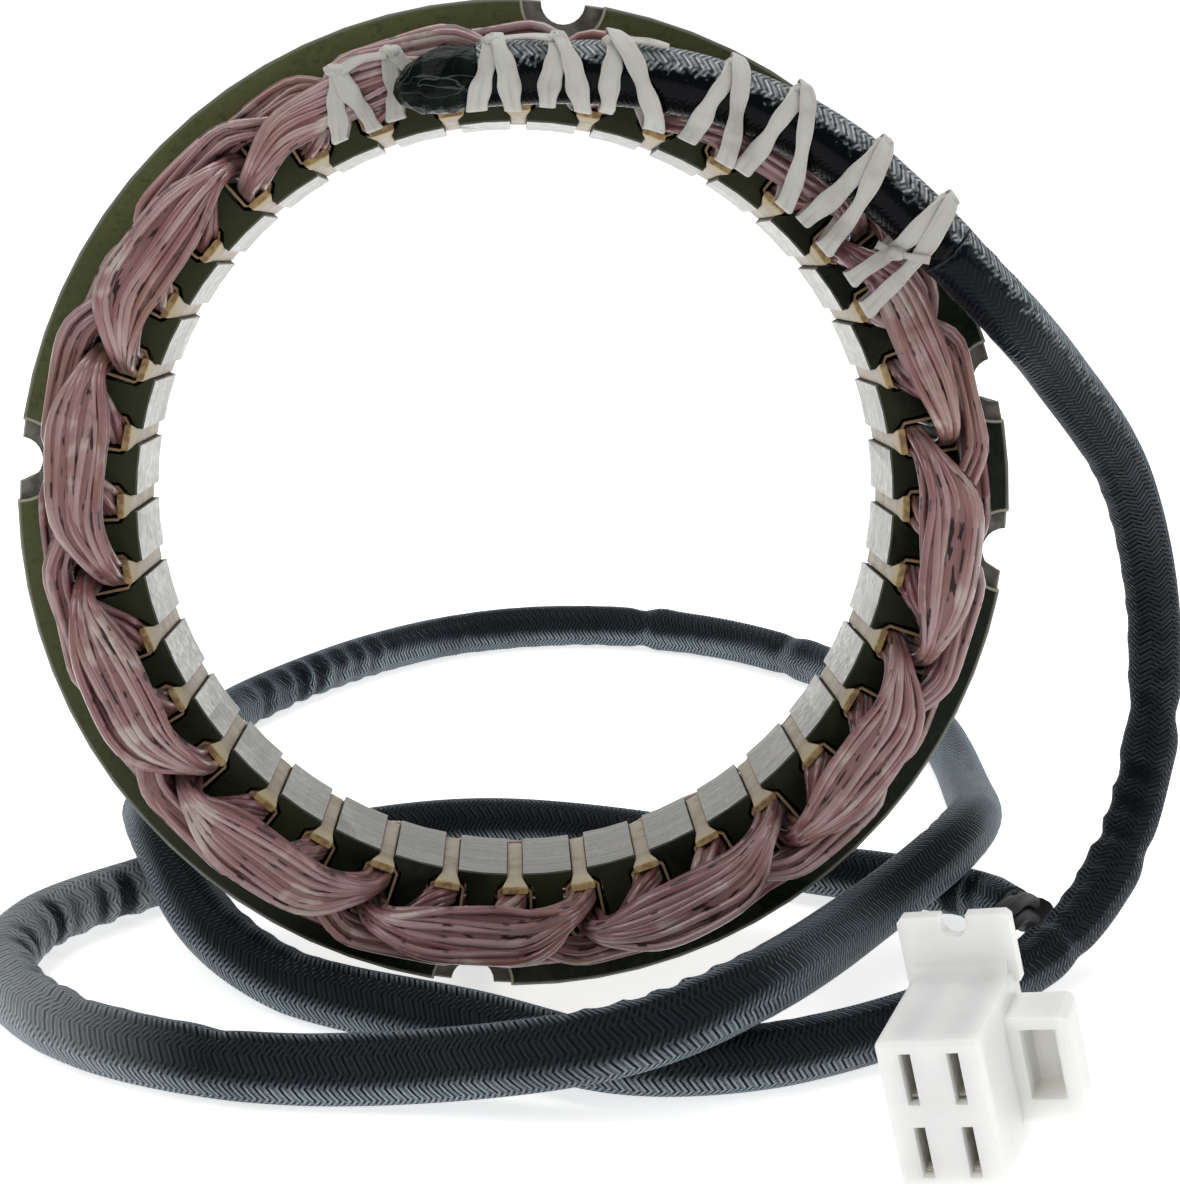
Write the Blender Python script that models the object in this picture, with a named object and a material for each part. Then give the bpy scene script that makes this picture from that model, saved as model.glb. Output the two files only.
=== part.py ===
"""Wound stator of a ring alternator, standing on its rim in the loops of its own harness.

Metres, +Z up. The bore axis runs along Y and leans back, the front face looks towards -Y.
The ring stands on the lowest point of its rear rim edge, under the middle of the bore.
"""

import math

import bmesh
import bpy
from mathutils import Euler, Matrix, Vector

# Lamination stack
CORE_RADIUS = 0.0770
YOKE_DEPTH = 0.0067
SLOT_DEPTH = 0.0116
STACK = 0.0236
LEAN = math.radians(8.0)

# Teeth and slots: clockwise angles from the top, seen from the front
TOOTH_COUNT = 36
FIRST_TOOTH = math.radians(5.5)
TOOTH_WIDTH = 0.0044
SLOT_MOUTH = 0.0026
SHOE_LIP = 0.0010
SHOE_TAPER = 0.0015
SLOT_CORNER = 0.0010

# Bolt notches in the rim, each in line with a tooth, with a round seat milled round it
NOTCHED_TEETH = (0, 7, 9, 18, 27)
NOTCH_RADIUS = 0.0034
SEAT_RADIUS = 0.0062
SEAT_DEPTH = 0.0015

# Slot paper
CLEARANCE = 0.0003
PAPER = 0.00035
WEDGE_THICKNESS = 0.0005
LINER_OVERHANG = 0.0005
WEDGE_OVERHANG = 0.0026
WEDGE_FLARE = 0.0005

# Windings: three closed waves, one for each phase, each with two passes in every third slot
PHASES = ("a", "b", "c")
FIRST_SLOT_OF_PHASE = {"a": 1, "b": 3, "c": 2}
SLOT_SIDE_GAP = 0.0011
BUNDLE_HALF_THICKNESS = 0.0016
BUNDLE_SHOULDER = 0.62
PASS_GAP = 0.0010
OUTER_LANE_REACH = 0.0012
OUTER_LANE_HALF_WIDTH = 0.0019
TOP_LANE_INSET = 0.0034
TOP_LANE_HALF_WIDTH = 0.0046
LACED_LANE_INSET = 0.0039
LACED_LANE_HALF_WIDTH = 0.0034
LACED_ARC = (math.radians(-30.0), math.radians(70.0))
LANE_HALF_HEIGHT = 0.0016
LANE_RISE = 0.0012
LANE_GAP = 0.0004

# Harness
SLEEVE_DIAMETER = 0.0094
SLEEVE_SIDES = 3
SLEEVE_STEP = 0.0200
SLEEVE_END_STEP = 0.0008
SLEEVE_JOINT = 0.0006
SURFACE_GAP = 0.0002
WRAP_SWELL = 1.08

# Lacing tape
TAPE_WIDTH = 0.0030
TAPE_THICKNESS = 0.0004

# Four-way connector, with its lower front left corner as its own origin
HOUSING_WIDTH = 0.0149
HOUSING_LENGTH = 0.0230
HOUSING_HEIGHT = 0.0220
HOUSING_CORNER = Vector((0.0525, -0.0830, 0.0004))
HOUSING_TURN = Euler((math.radians(3.4), math.radians(-12.6), math.radians(-24.4)), "XYZ")
HOUSING_ROUND = 0.0007
WAY_PITCH = 0.0067
ROW_PITCH = 0.0110
SLOT_WIDTH = 0.0017
SLOT_HEIGHT = 0.0077
MOUTH_DEPTH = 0.0020
CAVITY_WIDTH = 0.0032
CAVITY_HEIGHT = 0.0084
TAB_WIDTH = 0.0163
TAB_HEIGHT = 0.0089
TAB_THICKNESS = 0.0022
TAB_NOTCH = 0.0039
TAB_FILLET = 0.0030
LATCH_REACH = 0.0086
LATCH_HEIGHT = 0.0160
LATCH_LENGTH = 0.0080
LATCH_BACK = 0.0120
LATCH_BASE = 0.0032
LATCH_WALL = 0.0018
TERMINAL_LENGTH = 0.0120
TERMINAL_SHEET = 0.0004
LEAD_DIAMETER = 0.0024
TAPE_BINDING = 0.0050

# Sizes that follow from those above
HALF_STACK = STACK / 2
SLOT_BOTTOM_RADIUS = CORE_RADIUS - YOKE_DEPTH
BORE_RADIUS = SLOT_BOTTOM_RADIUS - SLOT_DEPTH
PITCH = 2 * math.pi / TOOTH_COUNT
CORE_HEIGHT = CORE_RADIUS * math.cos(LEAN) + HALF_STACK * math.sin(LEAN)
SHOE_END = BORE_RADIUS + SHOE_LIP + SHOE_TAPER
SLEEVE_RADIUS = SLEEVE_DIAMETER / 2
TIE_GAP = TAPE_THICKNESS + 2 * CLEARANCE
OUTER_LANE = SLOT_BOTTOM_RADIUS + OUTER_LANE_REACH
TOP_LANE = SLOT_BOTTOM_RADIUS - TOP_LANE_INSET
LACED_LANE = SLOT_BOTTOM_RADIUS - LACED_LANE_INSET
LANE_RADIUS = {"a": OUTER_LANE, "b": OUTER_LANE, "c": TOP_LANE}
LANE_HALF_WIDTH = {"a": OUTER_LANE_HALF_WIDTH, "b": OUTER_LANE_HALF_WIDTH, "c": TOP_LANE_HALF_WIDTH}
LANE_HEIGHT = {"a": LANE_RISE + LANE_HALF_HEIGHT}
LANE_HEIGHT["b"] = LANE_HEIGHT["a"] + 2 * LANE_HALF_HEIGHT + LANE_GAP
LANE_HEIGHT["c"] = LANE_HEIGHT["b"] + 2 * LANE_HALF_HEIGHT + TIE_GAP
WINDING_TOP = LANE_HEIGHT["c"] + LANE_HALF_HEIGHT
SLEEVE_HEIGHT = WINDING_TOP + CLEARANCE + SLEEVE_RADIUS
OUTER_PASS = SLOT_BOTTOM_RADIUS - SLOT_CORNER - PAPER - CLEARANCE - BUNDLE_HALF_THICKNESS
INNER_PASS = OUTER_PASS - 2 * BUNDLE_HALF_THICKNESS - PASS_GAP
HALF_SLOT_AT_PASS = INNER_PASS * math.tan(PITCH / 2) - TOOTH_WIDTH / 2 / math.cos(PITCH / 2)
BUNDLE_HALF_WIDTH = HALF_SLOT_AT_PASS - SLOT_SIDE_GAP
POLE_PITCH = 3 * PITCH

# The harness lies on the end turns from the splice to the last tie: angle in degrees, radius
SLEEVE_ON_RING_ROUTE = (
    (-14.8, 0.0640),
    (-9.6, 0.0643),
    (-4.4, 0.0646),
    (6.0, 0.0652),
    (13.5, 0.0664),
    (21.0, 0.0678),
    (28.5, 0.0692),
    (36.5, 0.0705),
    (44.0, 0.0717),
    (51.5, 0.0730),
    (58.3, 0.0747),
)
WRAP_END = math.radians(-4.4)
WRAP_PROFILE = ((0.0, 0.28), (0.08, 0.54), (0.22, 0.8), (0.42, 0.96), (0.65, 1.0), (1.0, 0.92))

# From the last tie the free cable goes down to the floor and twice round under the ring
FREE_ROUTE = (
    (0.0699, -0.0212, 0.1146),
    (0.0763, -0.0165, 0.1083),
    (0.0839, -0.0090, 0.1001),
    (0.0990, 0.0040, 0.0800),
    (0.1066, 0.0090, 0.0550),
    (0.1060, 0.0050, 0.0306),
    (0.0970, -0.0070, 0.0135),
    (0.0826, -0.0210, 0.0056),
    (0.0600, -0.0400, 0.0050),
    (0.0350, -0.0520, 0.0050),
    (0.0150, -0.0527, 0.0050),
    (-0.0060, -0.0410, 0.0050),
    (-0.0340, -0.0260, 0.0050),
    (-0.0500, -0.0100, 0.0085),
    (-0.0620, 0.0160, 0.0152),
    (-0.0670, 0.0450, 0.0095),
    (-0.0680, 0.0750, 0.0050),
    (-0.0580, 0.1150, 0.0050),
    (-0.0180, 0.1640, 0.0050),
    (0.0180, 0.1735, 0.0050),
    (0.0520, 0.1590, 0.0050),
    (0.0830, 0.1130, 0.0050),
    (0.0860, 0.0560, 0.0065),
    (0.0765, 0.0110, 0.0153),
    (0.0550, -0.0185, 0.0125),
    (0.0324, -0.0520, 0.0153),
    (0.0145, -0.0615, 0.0128),
    (-0.0145, -0.0570, 0.0066),
    (-0.0450, -0.0525, 0.0050),
    (-0.0690, -0.0395, 0.0050),
    (-0.0820, -0.0190, 0.0050),
    (-0.0800, 0.0000, 0.0050),
    (-0.0660, 0.0160, 0.0050),
    (-0.0400, 0.0345, 0.0050),
    (-0.0050, 0.0450, 0.0050),
    (0.0300, 0.0350, 0.0050),
    (0.0500, 0.0225, 0.0050),
    (0.0665, 0.0160, 0.0050),
    (0.0780, 0.0087, 0.0052),
    (0.0845, -0.0015, 0.0065),
)

# The wires go over the strand that comes down from the ring, to the back of the connector
LEAD_ROUTE = (
    (0.0826, -0.0100, 0.0105),
    (0.0785, -0.0200, 0.0135),
    (0.0740, -0.0300, 0.0150),
    (0.0700, -0.0410, 0.0150),
)

# Lacing ties: angle at the outer side, angle at the inner side, whether it holds the sleeve too
TIES = (
    (-21.0, -24.0, False),
    (-15.8, -18.0, False),
    (-2.6, -1.2, True),
    (5.0, 7.0, True),
    (12.0, 14.5, True),
    (26.0, 28.0, True),
    (34.0, 37.0, True),
    (43.5, 45.5, True),
    (54.6, 58.4, True),
)


def clear_scene():
    for old in list(bpy.data.objects):
        bpy.data.objects.remove(old, do_unlink=True)


def finish(node, colour, roughness, metallic=0.0):
    """Give the object its own material."""
    material = bpy.data.materials.new(node.name)
    material.use_nodes = True
    shader = material.node_tree.nodes["Principled BSDF"]
    shader.inputs["Base Color"].default_value = (*colour, 1.0)
    shader.inputs["Roughness"].default_value = roughness
    shader.inputs["Metallic"].default_value = metallic
    node.data.materials.append(material)


def add_object(name, data, parent=None):
    node = bpy.data.objects.new(name, data)
    bpy.context.scene.collection.objects.link(node)
    node.parent = parent
    return node


def mesh_object(name, build, parent=None, smooth_below=None):
    """Make an object whose mesh is filled by build(bm), with its faces turned outwards."""
    bm = bmesh.new()
    build(bm)
    bmesh.ops.recalc_face_normals(bm, faces=bm.faces)
    mesh = bpy.data.meshes.new(name)
    bm.to_mesh(mesh)
    bm.free()
    if smooth_below is not None:
        mesh.shade_smooth()
        mesh.set_sharp_from_angle(angle=smooth_below)
    return add_object(name, mesh, parent)


def add_prism(bm, outline, low, high):
    """Extrude a closed outline of (x, y) points from z = low to z = high."""
    bottom = [bm.verts.new((x, y, low)) for x, y in outline]
    face = bm.faces.new(bottom)
    grown = bmesh.ops.extrude_face_region(bm, geom=[face])
    moved = [item for item in grown["geom"] if isinstance(item, bmesh.types.BMVert)]
    bmesh.ops.translate(bm, verts=moved, vec=(0.0, 0.0, high - low))


def add_loft(bm, rings, closed=False):
    """Join rings of points with quads, either round to the first ring or with two caps."""
    loops = [[bm.verts.new(point) for point in ring] for ring in rings]
    pairs = list(zip(loops, loops[1:]))
    if closed:
        pairs.append((loops[-1], loops[0]))
    for one, two in pairs:
        for k in range(len(one)):
            after = (k + 1) % len(one)
            bm.faces.new((one[k], one[after], two[after], two[k]))
    if not closed:
        bm.faces.new(loops[0])
        bm.faces.new(loops[-1])


def circle(radius, count, centre=(0.0, 0.0), start=0.0):
    points = []
    for k in range(count):
        angle = start + 2 * math.pi * k / count
        points.append((centre[0] + radius * math.cos(angle), centre[1] + radius * math.sin(angle)))
    return points


def outward(angle):
    """Unit vector from the bore axis at a clockwise angle from the top."""
    return Vector((math.sin(angle), math.cos(angle), 0.0))


def clockwise(angle):
    return Vector((math.cos(angle), -math.sin(angle), 0.0))


def turned(outline, angle):
    """Place an outline of (across, radius) points at a clockwise angle round the axis."""
    placed = []
    for across, radius in outline:
        point = outward(angle) * radius + clockwise(angle) * across
        placed.append((point.x, point.y))
    return placed


def slot_angle(slot):
    return FIRST_TOOTH + (slot - 0.5) * PITCH


def slot_half_width(radius):
    """Half the slot between parallel-sided teeth."""
    return radius * math.tan(PITCH / 2) - TOOTH_WIDTH / 2 / math.cos(PITCH / 2)


def cut(target, cutter):
    cutter.hide_render = True
    cutter.display_type = "WIRE"
    boolean = target.modifiers.new(cutter.name, "BOOLEAN")
    boolean.operation = "DIFFERENCE"
    boolean.object = cutter


def slot_outline():
    """The cut for one slot: mouth, tapered shoe, straight sides and a chamfered bottom."""
    mouth = SLOT_MOUTH / 2
    side = [
        (mouth, BORE_RADIUS - 0.002),
        (mouth, BORE_RADIUS + SHOE_LIP),
        (slot_half_width(SHOE_END), SHOE_END),
        (slot_half_width(SLOT_BOTTOM_RADIUS - SLOT_CORNER), SLOT_BOTTOM_RADIUS - SLOT_CORNER),
        (slot_half_width(SLOT_BOTTOM_RADIUS) - SLOT_CORNER, SLOT_BOTTOM_RADIUS),
    ]
    return side + [(-across, radius) for across, radius in reversed(side)]


def build_core(axis):
    """Punched laminations, 36 teeth inwards, five bolt notches in the rim."""
    reach = HALF_STACK + 0.002

    def blank(bm):
        start = math.pi / 2 - FIRST_TOOTH
        rings = []
        for radius, height in (
            (CORE_RADIUS, -HALF_STACK),
            (CORE_RADIUS, HALF_STACK),
            (BORE_RADIUS, HALF_STACK),
            (BORE_RADIUS, -HALF_STACK),
        ):
            rings.append([(x, y, height) for x, y in circle(radius, 2 * TOOTH_COUNT, start=start)])
        add_loft(bm, rings, closed=True)

    def slots(bm):
        for slot in range(TOOTH_COUNT):
            add_prism(bm, turned(slot_outline(), slot_angle(slot)), -reach, reach)

    def notches(bm):
        for tooth in NOTCHED_TEETH:
            centre = outward(FIRST_TOOTH + tooth * PITCH) * CORE_RADIUS
            add_prism(bm, circle(NOTCH_RADIUS, 24, centre.xy), -reach, reach)

    def seats(bm):
        for tooth in NOTCHED_TEETH:
            centre = outward(FIRST_TOOTH + tooth * PITCH) * CORE_RADIUS
            add_prism(bm, circle(SEAT_RADIUS, 32, centre.xy), HALF_STACK - SEAT_DEPTH, reach)

    core = mesh_object("lamination_core", blank, axis, math.radians(30))
    cut(core, mesh_object("slot_cutter", slots, axis))
    cut(core, mesh_object("notch_cutter", notches, axis))
    cut(core, mesh_object("seat_cutter", seats, axis))
    finish(core, (0.16, 0.17, 0.09), 0.35, 0.2)


def paper_outlines(flare=0.0):
    """Section of the folded slot paper: closed under the tooth tips, open inside."""
    lip = BORE_RADIUS + SHOE_LIP
    slope = (slot_half_width(SHOE_END) - SLOT_MOUTH / 2) / SHOE_TAPER
    top = lip + CLEARANCE
    mouth = SLOT_MOUTH / 2 - CLEARANCE / 2 + flare
    shoulder = SHOE_END + CLEARANCE
    corner = SLOT_BOTTOM_RADIUS - SLOT_CORNER + CLEARANCE / 2
    outer = [
        (mouth, top),
        (slot_half_width(shoulder) - CLEARANCE * 1.2, shoulder),
        (slot_half_width(corner) - 2 * CLEARANCE - SLOT_CORNER / 3, corner),
    ]
    inner = [
        (mouth - PAPER / slope - flare, top + WEDGE_THICKNESS),
        (outer[1][0] - PAPER, shoulder + PAPER / 2),
        (outer[2][0] - PAPER, corner - PAPER),
    ]
    sections = []
    for half in (outer, inner):
        sections.append(half + [(-across, radius) for across, radius in reversed(half)])
    return sections


def build_papers(axis):
    """Each slot's folded liner, closed by its strip, whose ends flare past both faces."""
    flat = HALF_STACK + CLEARANCE
    rim = HALF_STACK + LINER_OVERHANG
    tongue = HALF_STACK + WEDGE_OVERHANG
    for slot in range(TOOTH_COUNT):
        angle = slot_angle(slot)

        def paper(bm, angle=angle):
            outer, inner = (turned(outline, angle) for outline in paper_outlines())
            flared = turned(paper_outlines(WEDGE_FLARE)[0], angle)

            def ring(outline, side, end):
                heights = (tongue, rim, rim, rim, rim, tongue)
                return [(x, y, side * (h if end else flat)) for (x, y), h in zip(outline, heights)]

            rings = [ring(flared, -1, True), ring(outer, -1, False), ring(outer, 1, False)]
            rings += [ring(flared, 1, True), ring(inner, 1, True), ring(inner, -1, True)]
            add_loft(bm, rings, closed=True)

        node = mesh_object(f"slot_paper_{slot + 1:02d}", paper, axis)
        finish(node, (0.85, 0.74, 0.52), 0.7)


def bundle_ring(centre, along, out, half_out, half_side):
    """Six points round a bundle of wires, with its two edges towards the bore and the rim."""
    wide = (out - along * out.dot(along)).normalized()
    thin = along.cross(wide)
    shoulder = half_out * BUNDLE_SHOULDER
    corners = (
        (half_out, 0.0),
        (shoulder, half_side),
        (-shoulder, half_side),
        (-half_out, 0.0),
        (-shoulder, -half_side),
        (shoulder, -half_side),
    )
    return [centre + wide * u + thin * v for u, v in corners]


# How an end turn leaves its slot: share of the pole pitch, of the height, of the way outwards
END_TURN = ((0.045, 0.88, 0.0), (0.115, 1.0, 0.3), (0.267, 1.0, 1.0))


def end_turn(phase, side, start, start_radius, finish_radius):
    """Stations of the end turn over one pole pitch: centre, way out and half sizes."""
    stations = []
    lane, half_width = LANE_RADIUS[phase], LANE_HALF_WIDTH[phase]
    middle = (start + POLE_PITCH / 2 + math.pi) % (2 * math.pi) - math.pi
    if phase == "c" and side > 0 and LACED_ARC[0] < middle < LACED_ARC[1]:
        lane, half_width = LACED_LANE, LACED_LANE_HALF_WIDTH
    floor = HALF_STACK
    crown = HALF_STACK + LANE_HEIGHT[phase]
    ways = list(END_TURN)
    ways += [(1.0 - share, rise, out) for share, rise, out in reversed(END_TURN)]
    for share, rise, out in ways:
        root = start_radius if share < 0.5 else finish_radius
        angle = start + share * POLE_PITCH
        radius = root + out * (lane - root)
        height = side * (floor + rise * (crown - floor))
        half_out = BUNDLE_HALF_THICKNESS + out * (half_width - BUNDLE_HALF_THICKNESS)
        half_side = BUNDLE_HALF_WIDTH + rise * (LANE_HALF_HEIGHT - BUNDLE_HALF_WIDTH)
        centre = outward(angle) * radius + Vector((0.0, 0.0, height))
        stations.append((centre, outward(angle), half_out, half_side))
    return stations


def slot_pass(slot, radius, upwards):
    """The straight run through a slot, from one face to the other."""
    angle = slot_angle(slot)
    stations = []
    for height in (-HALF_STACK, HALF_STACK) if upwards else (HALF_STACK, -HALF_STACK):
        centre = outward(angle) * radius + Vector((0.0, 0.0, height))
        stations.append((centre, outward(angle), BUNDLE_HALF_THICKNESS, BUNDLE_HALF_WIDTH))
    return stations


def wave_stations(phase):
    """One closed path: once round the ring forwards, then once back over the other pitches."""
    first = FIRST_SLOT_OF_PHASE[phase]
    poles = TOOTH_COUNT // 3
    stations = []
    for k in range(poles):
        slot = first + 3 * k
        upwards = k % 2 == 0
        here, there = (INNER_PASS, OUTER_PASS) if upwards else (OUTER_PASS, INNER_PASS)
        if k == poles - 1:
            there = here
        side = 1 if upwards else -1
        stations += slot_pass(slot, here, upwards)
        stations += end_turn(phase, side, slot_angle(slot), here, there)
    for k in range(poles):
        slot = first - 3 * k
        upwards = k % 2 == 0
        here, there = (OUTER_PASS, INNER_PASS) if upwards else (INNER_PASS, OUTER_PASS)
        if k == poles - 1:
            there = here
        side = 1 if upwards else -1
        stations += slot_pass(slot, here, upwards)
        stations += reversed(end_turn(phase, side, slot_angle(slot - 3), there, here))
    return stations


def build_windings(axis):
    """Three phase windings of varnished wire, lying one over the other at the end turns."""
    tints = {"a": (0.36, 0.13, 0.14), "b": (0.42, 0.17, 0.18), "c": (0.50, 0.24, 0.26)}
    for phase in PHASES:
        stations = wave_stations(phase)

        def wave(bm, stations=stations):
            rings = []
            count = len(stations)
            for k, (centre, out, half_out, half_side) in enumerate(stations):
                along = (stations[(k + 1) % count][0] - stations[k - 1][0]).normalized()
                rings.append(bundle_ring(centre, along, out, half_out, half_side))
            add_loft(bm, rings, closed=True)

        winding = mesh_object(f"winding_phase_{phase}", wave, axis)
        finish(winding, tints[phase], 0.3)


def ring_to_world(angle, radius, height, axis):
    """A point over the front face, in the world."""
    return axis.matrix_world @ (outward(angle) * radius + Vector((0.0, 0.0, HALF_STACK + height)))


def smooth_curve(points, step=0.001):
    """A centripetal Catmull-Rom curve through the points, as a fine polyline."""
    ends = [2 * points[0] - points[1], *points, 2 * points[-1] - points[-2]]
    line = []
    for k in range(1, len(ends) - 2):
        a, b, c, d = ends[k - 1 : k + 3]
        t1 = math.sqrt((b - a).length)
        t2 = t1 + math.sqrt((c - b).length)
        t3 = t2 + math.sqrt((d - c).length)
        count = max(4, round((c - b).length / step))
        for j in range(count):
            t = t1 + (t2 - t1) * j / count
            a1 = a.lerp(b, t / t1)
            a2 = b.lerp(c, (t - t1) / (t2 - t1))
            a3 = c.lerp(d, (t - t2) / (t3 - t2))
            b1 = a1.lerp(a2, t / t2)
            b2 = a2.lerp(a3, (t - t1) / (t3 - t1))
            line.append(b1.lerp(b2, (t - t1) / (t2 - t1)))
    line.append(points[-1].copy())
    return line


def distances(line):
    """How far along the polyline each of its points lies."""
    far = [0.0]
    for one, two in zip(line, line[1:]):
        far.append(far[-1] + (two - one).length)
    return far


def point_at(line, far, distance):
    """The point that lies this far along the polyline."""
    for k in range(1, len(line)):
        if far[k] >= distance:
            share = (distance - far[k - 1]) / max(far[k] - far[k - 1], 1e-9)
            return line[k - 1].lerp(line[k], share)
    return line[-1].copy()


def tube(name, line, start, end, diameter, step, sides):
    """A curve object along part of a polyline, with filled caps and a short first and last step."""
    far = distances(line)
    inner = end - start - 2 * SLEEVE_END_STEP
    count = max(1, round(inner / step))
    places = [start]
    places += [start + SLEEVE_END_STEP + inner * k / count for k in range(count + 1)]
    places.append(end)
    curve = bpy.data.curves.new(name, "CURVE")
    curve.dimensions = "3D"
    curve.bevel_depth = diameter / 2
    curve.bevel_resolution = sides
    curve.use_fill_caps = True
    spline = curve.splines.new("POLY")
    spline.points.add(len(places) - 1)
    for point, place in zip(spline.points, places):
        x, y, z = point_at(line, far, place)
        point.co = (x, y, max(z, diameter / 2 + SURFACE_GAP), 1.0)
    return add_object(name, curve)


def build_harness(axis):
    """Splice wrap, the sleeve laced to the ring, and the free cable to the connector."""
    held = [
        ring_to_world(math.radians(angle), radius, SLEEVE_HEIGHT, axis)
        for angle, radius in SLEEVE_ON_RING_ROUTE
    ]
    line = smooth_curve(held + [Vector(point) for point in FREE_ROUTE])
    far = distances(line)
    leave = far[min(range(len(line)), key=lambda k: (line[k] - held[-1]).length)]
    wrap_end = ring_to_world(WRAP_END, SLEEVE_ON_RING_ROUTE[2][1], SLEEVE_HEIGHT, axis)
    start = far[min(range(len(line)), key=lambda k: (line[k] - wrap_end).length)]

    normal = (axis.matrix_world.to_3x3() @ Vector((0.0, 0.0, 1.0))).normalized()

    def wrap(bm):
        rings = []
        length = start - CLEARANCE
        for share, size in WRAP_PROFILE:
            place = share * length
            radius = size * WRAP_SWELL * SLEEVE_RADIUS
            ahead = point_at(line, far, place + 0.001) - point_at(line, far, place)
            across = ahead.cross(normal).normalized()
            centre = point_at(line, far, place) + normal * (radius - SLEEVE_RADIUS)
            ring = []
            for x, y in circle(radius, 12):
                ring.append(centre + across * x + normal * y)
            rings.append(ring)
        add_loft(bm, rings)

    finish(mesh_object("splice_wrap", wrap, None, math.radians(40)), (0.02, 0.025, 0.02), 0.35)
    before, after = leave - SLEEVE_JOINT / 2, leave + SLEEVE_JOINT / 2
    held_sleeve = tube("sleeve_on_ring", line, start, before, SLEEVE_DIAMETER, SLEEVE_STEP / 2, SLEEVE_SIDES)
    finish(held_sleeve, (0.015, 0.018, 0.03), 0.5)
    cable = tube("harness_cable", line, after, far[-1], SLEEVE_DIAMETER, SLEEVE_STEP, SLEEVE_SIDES)
    finish(cable, (0.015, 0.018, 0.03), 0.5)
    return line[-1], (line[-1] - line[-4]).normalized()


def hull(points):
    """Convex outline round flat points, by the monotone chain."""
    ordered = sorted(points)

    def half(run):
        chain = []
        for point in run:
            while len(chain) > 1:
                (ax, ay), (bx, by) = chain[-2:]
                if (bx - ax) * (point[1] - ay) - (by - ay) * (point[0] - ax) > 0:
                    break
                chain.pop()
            chain.append(point)
        return chain[:-1]

    return half(ordered) + half(ordered[::-1])


def sleeve_radius_at(degrees):
    """Where the sleeve lies on the ring, between the points of its route."""
    route = SLEEVE_ON_RING_ROUTE
    for (a, low), (b, high) in zip(route, route[1:]):
        if a <= degrees <= b:
            return low + (high - low) * (degrees - a) / (b - a)
    return route[0][1]


def build_ties(axis):
    """Flat lacing tape, looped round the top end turns and the sleeve."""
    away = CLEARANCE + TAPE_THICKNESS / 2
    chord = LACED_LANE * math.cos((0.5 - END_TURN[-1][0]) * POLE_PITCH)
    inner = chord - LACED_LANE_HALF_WIDTH - away
    outer = LACED_LANE + LACED_LANE_HALF_WIDTH + away
    low = LANE_HEIGHT["c"] - LANE_HALF_HEIGHT - TIE_GAP / 2
    high = WINDING_TOP + away
    for number, (outer_angle, inner_angle, holds_sleeve) in enumerate(TIES, start=1):
        corners = [(inner, low), (outer, low), (inner, high), (outer, high)]
        if holds_sleeve:
            middle = (sleeve_radius_at((outer_angle + inner_angle) / 2), SLEEVE_HEIGHT)
            corners += circle((SLEEVE_RADIUS + away) / math.cos(math.pi / 10), 10, middle, math.pi / 10)
        loop = hull(corners)
        reach = (min(r for r, _ in loop), max(r for r, _ in loop))

        def band(bm, loop=loop, reach=reach, outer_angle=outer_angle, inner_angle=inner_angle):
            rings = []
            count = len(loop)
            for k, (radius, height) in enumerate(loop):
                before, after = Vector(loop[k - 1]), Vector(loop[(k + 1) % count])
                here = Vector((radius, height))
                one, two = (here - before).normalized(), (after - here).normalized()
                along = (one + two).normalized()
                side = Vector((along.y, -along.x)) / max(along.dot(two), 0.5)
                share = (reach[1] - radius) / (reach[1] - reach[0])
                angle = math.radians(outer_angle + share * (inner_angle - outer_angle))
                ring = []
                for u, v in ((-1, -1), (1, -1), (1, 1), (-1, 1)):
                    flat = here + side * (v * TAPE_THICKNESS / 2)
                    point = outward(angle) * flat.x + clockwise(angle) * (u * TAPE_WIDTH / 2)
                    ring.append(point + Vector((0.0, 0.0, HALF_STACK + flat.y)))
                rings.append(ring)
            add_loft(bm, rings, closed=True)

        tie = mesh_object(f"lacing_tie_{number}", band, axis)
        finish(tie, (0.80, 0.78, 0.72), 0.8)


def way_centres():
    """Middle of each of the four ways, as (x, z) in the housing's own frame."""
    left = (HOUSING_WIDTH - WAY_PITCH) / 2
    low = (HOUSING_HEIGHT - ROW_PITCH) / 2
    return [(left + c * WAY_PITCH, low + r * ROW_PITCH) for r in (1, 0) for c in (0, 1)]


def add_block(bm, low, high):
    """A box between two corners."""
    outline = [(low[0], low[1]), (high[0], low[1]), (high[0], high[1]), (low[0], high[1])]
    add_prism(bm, outline, low[2], high[2])


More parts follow.
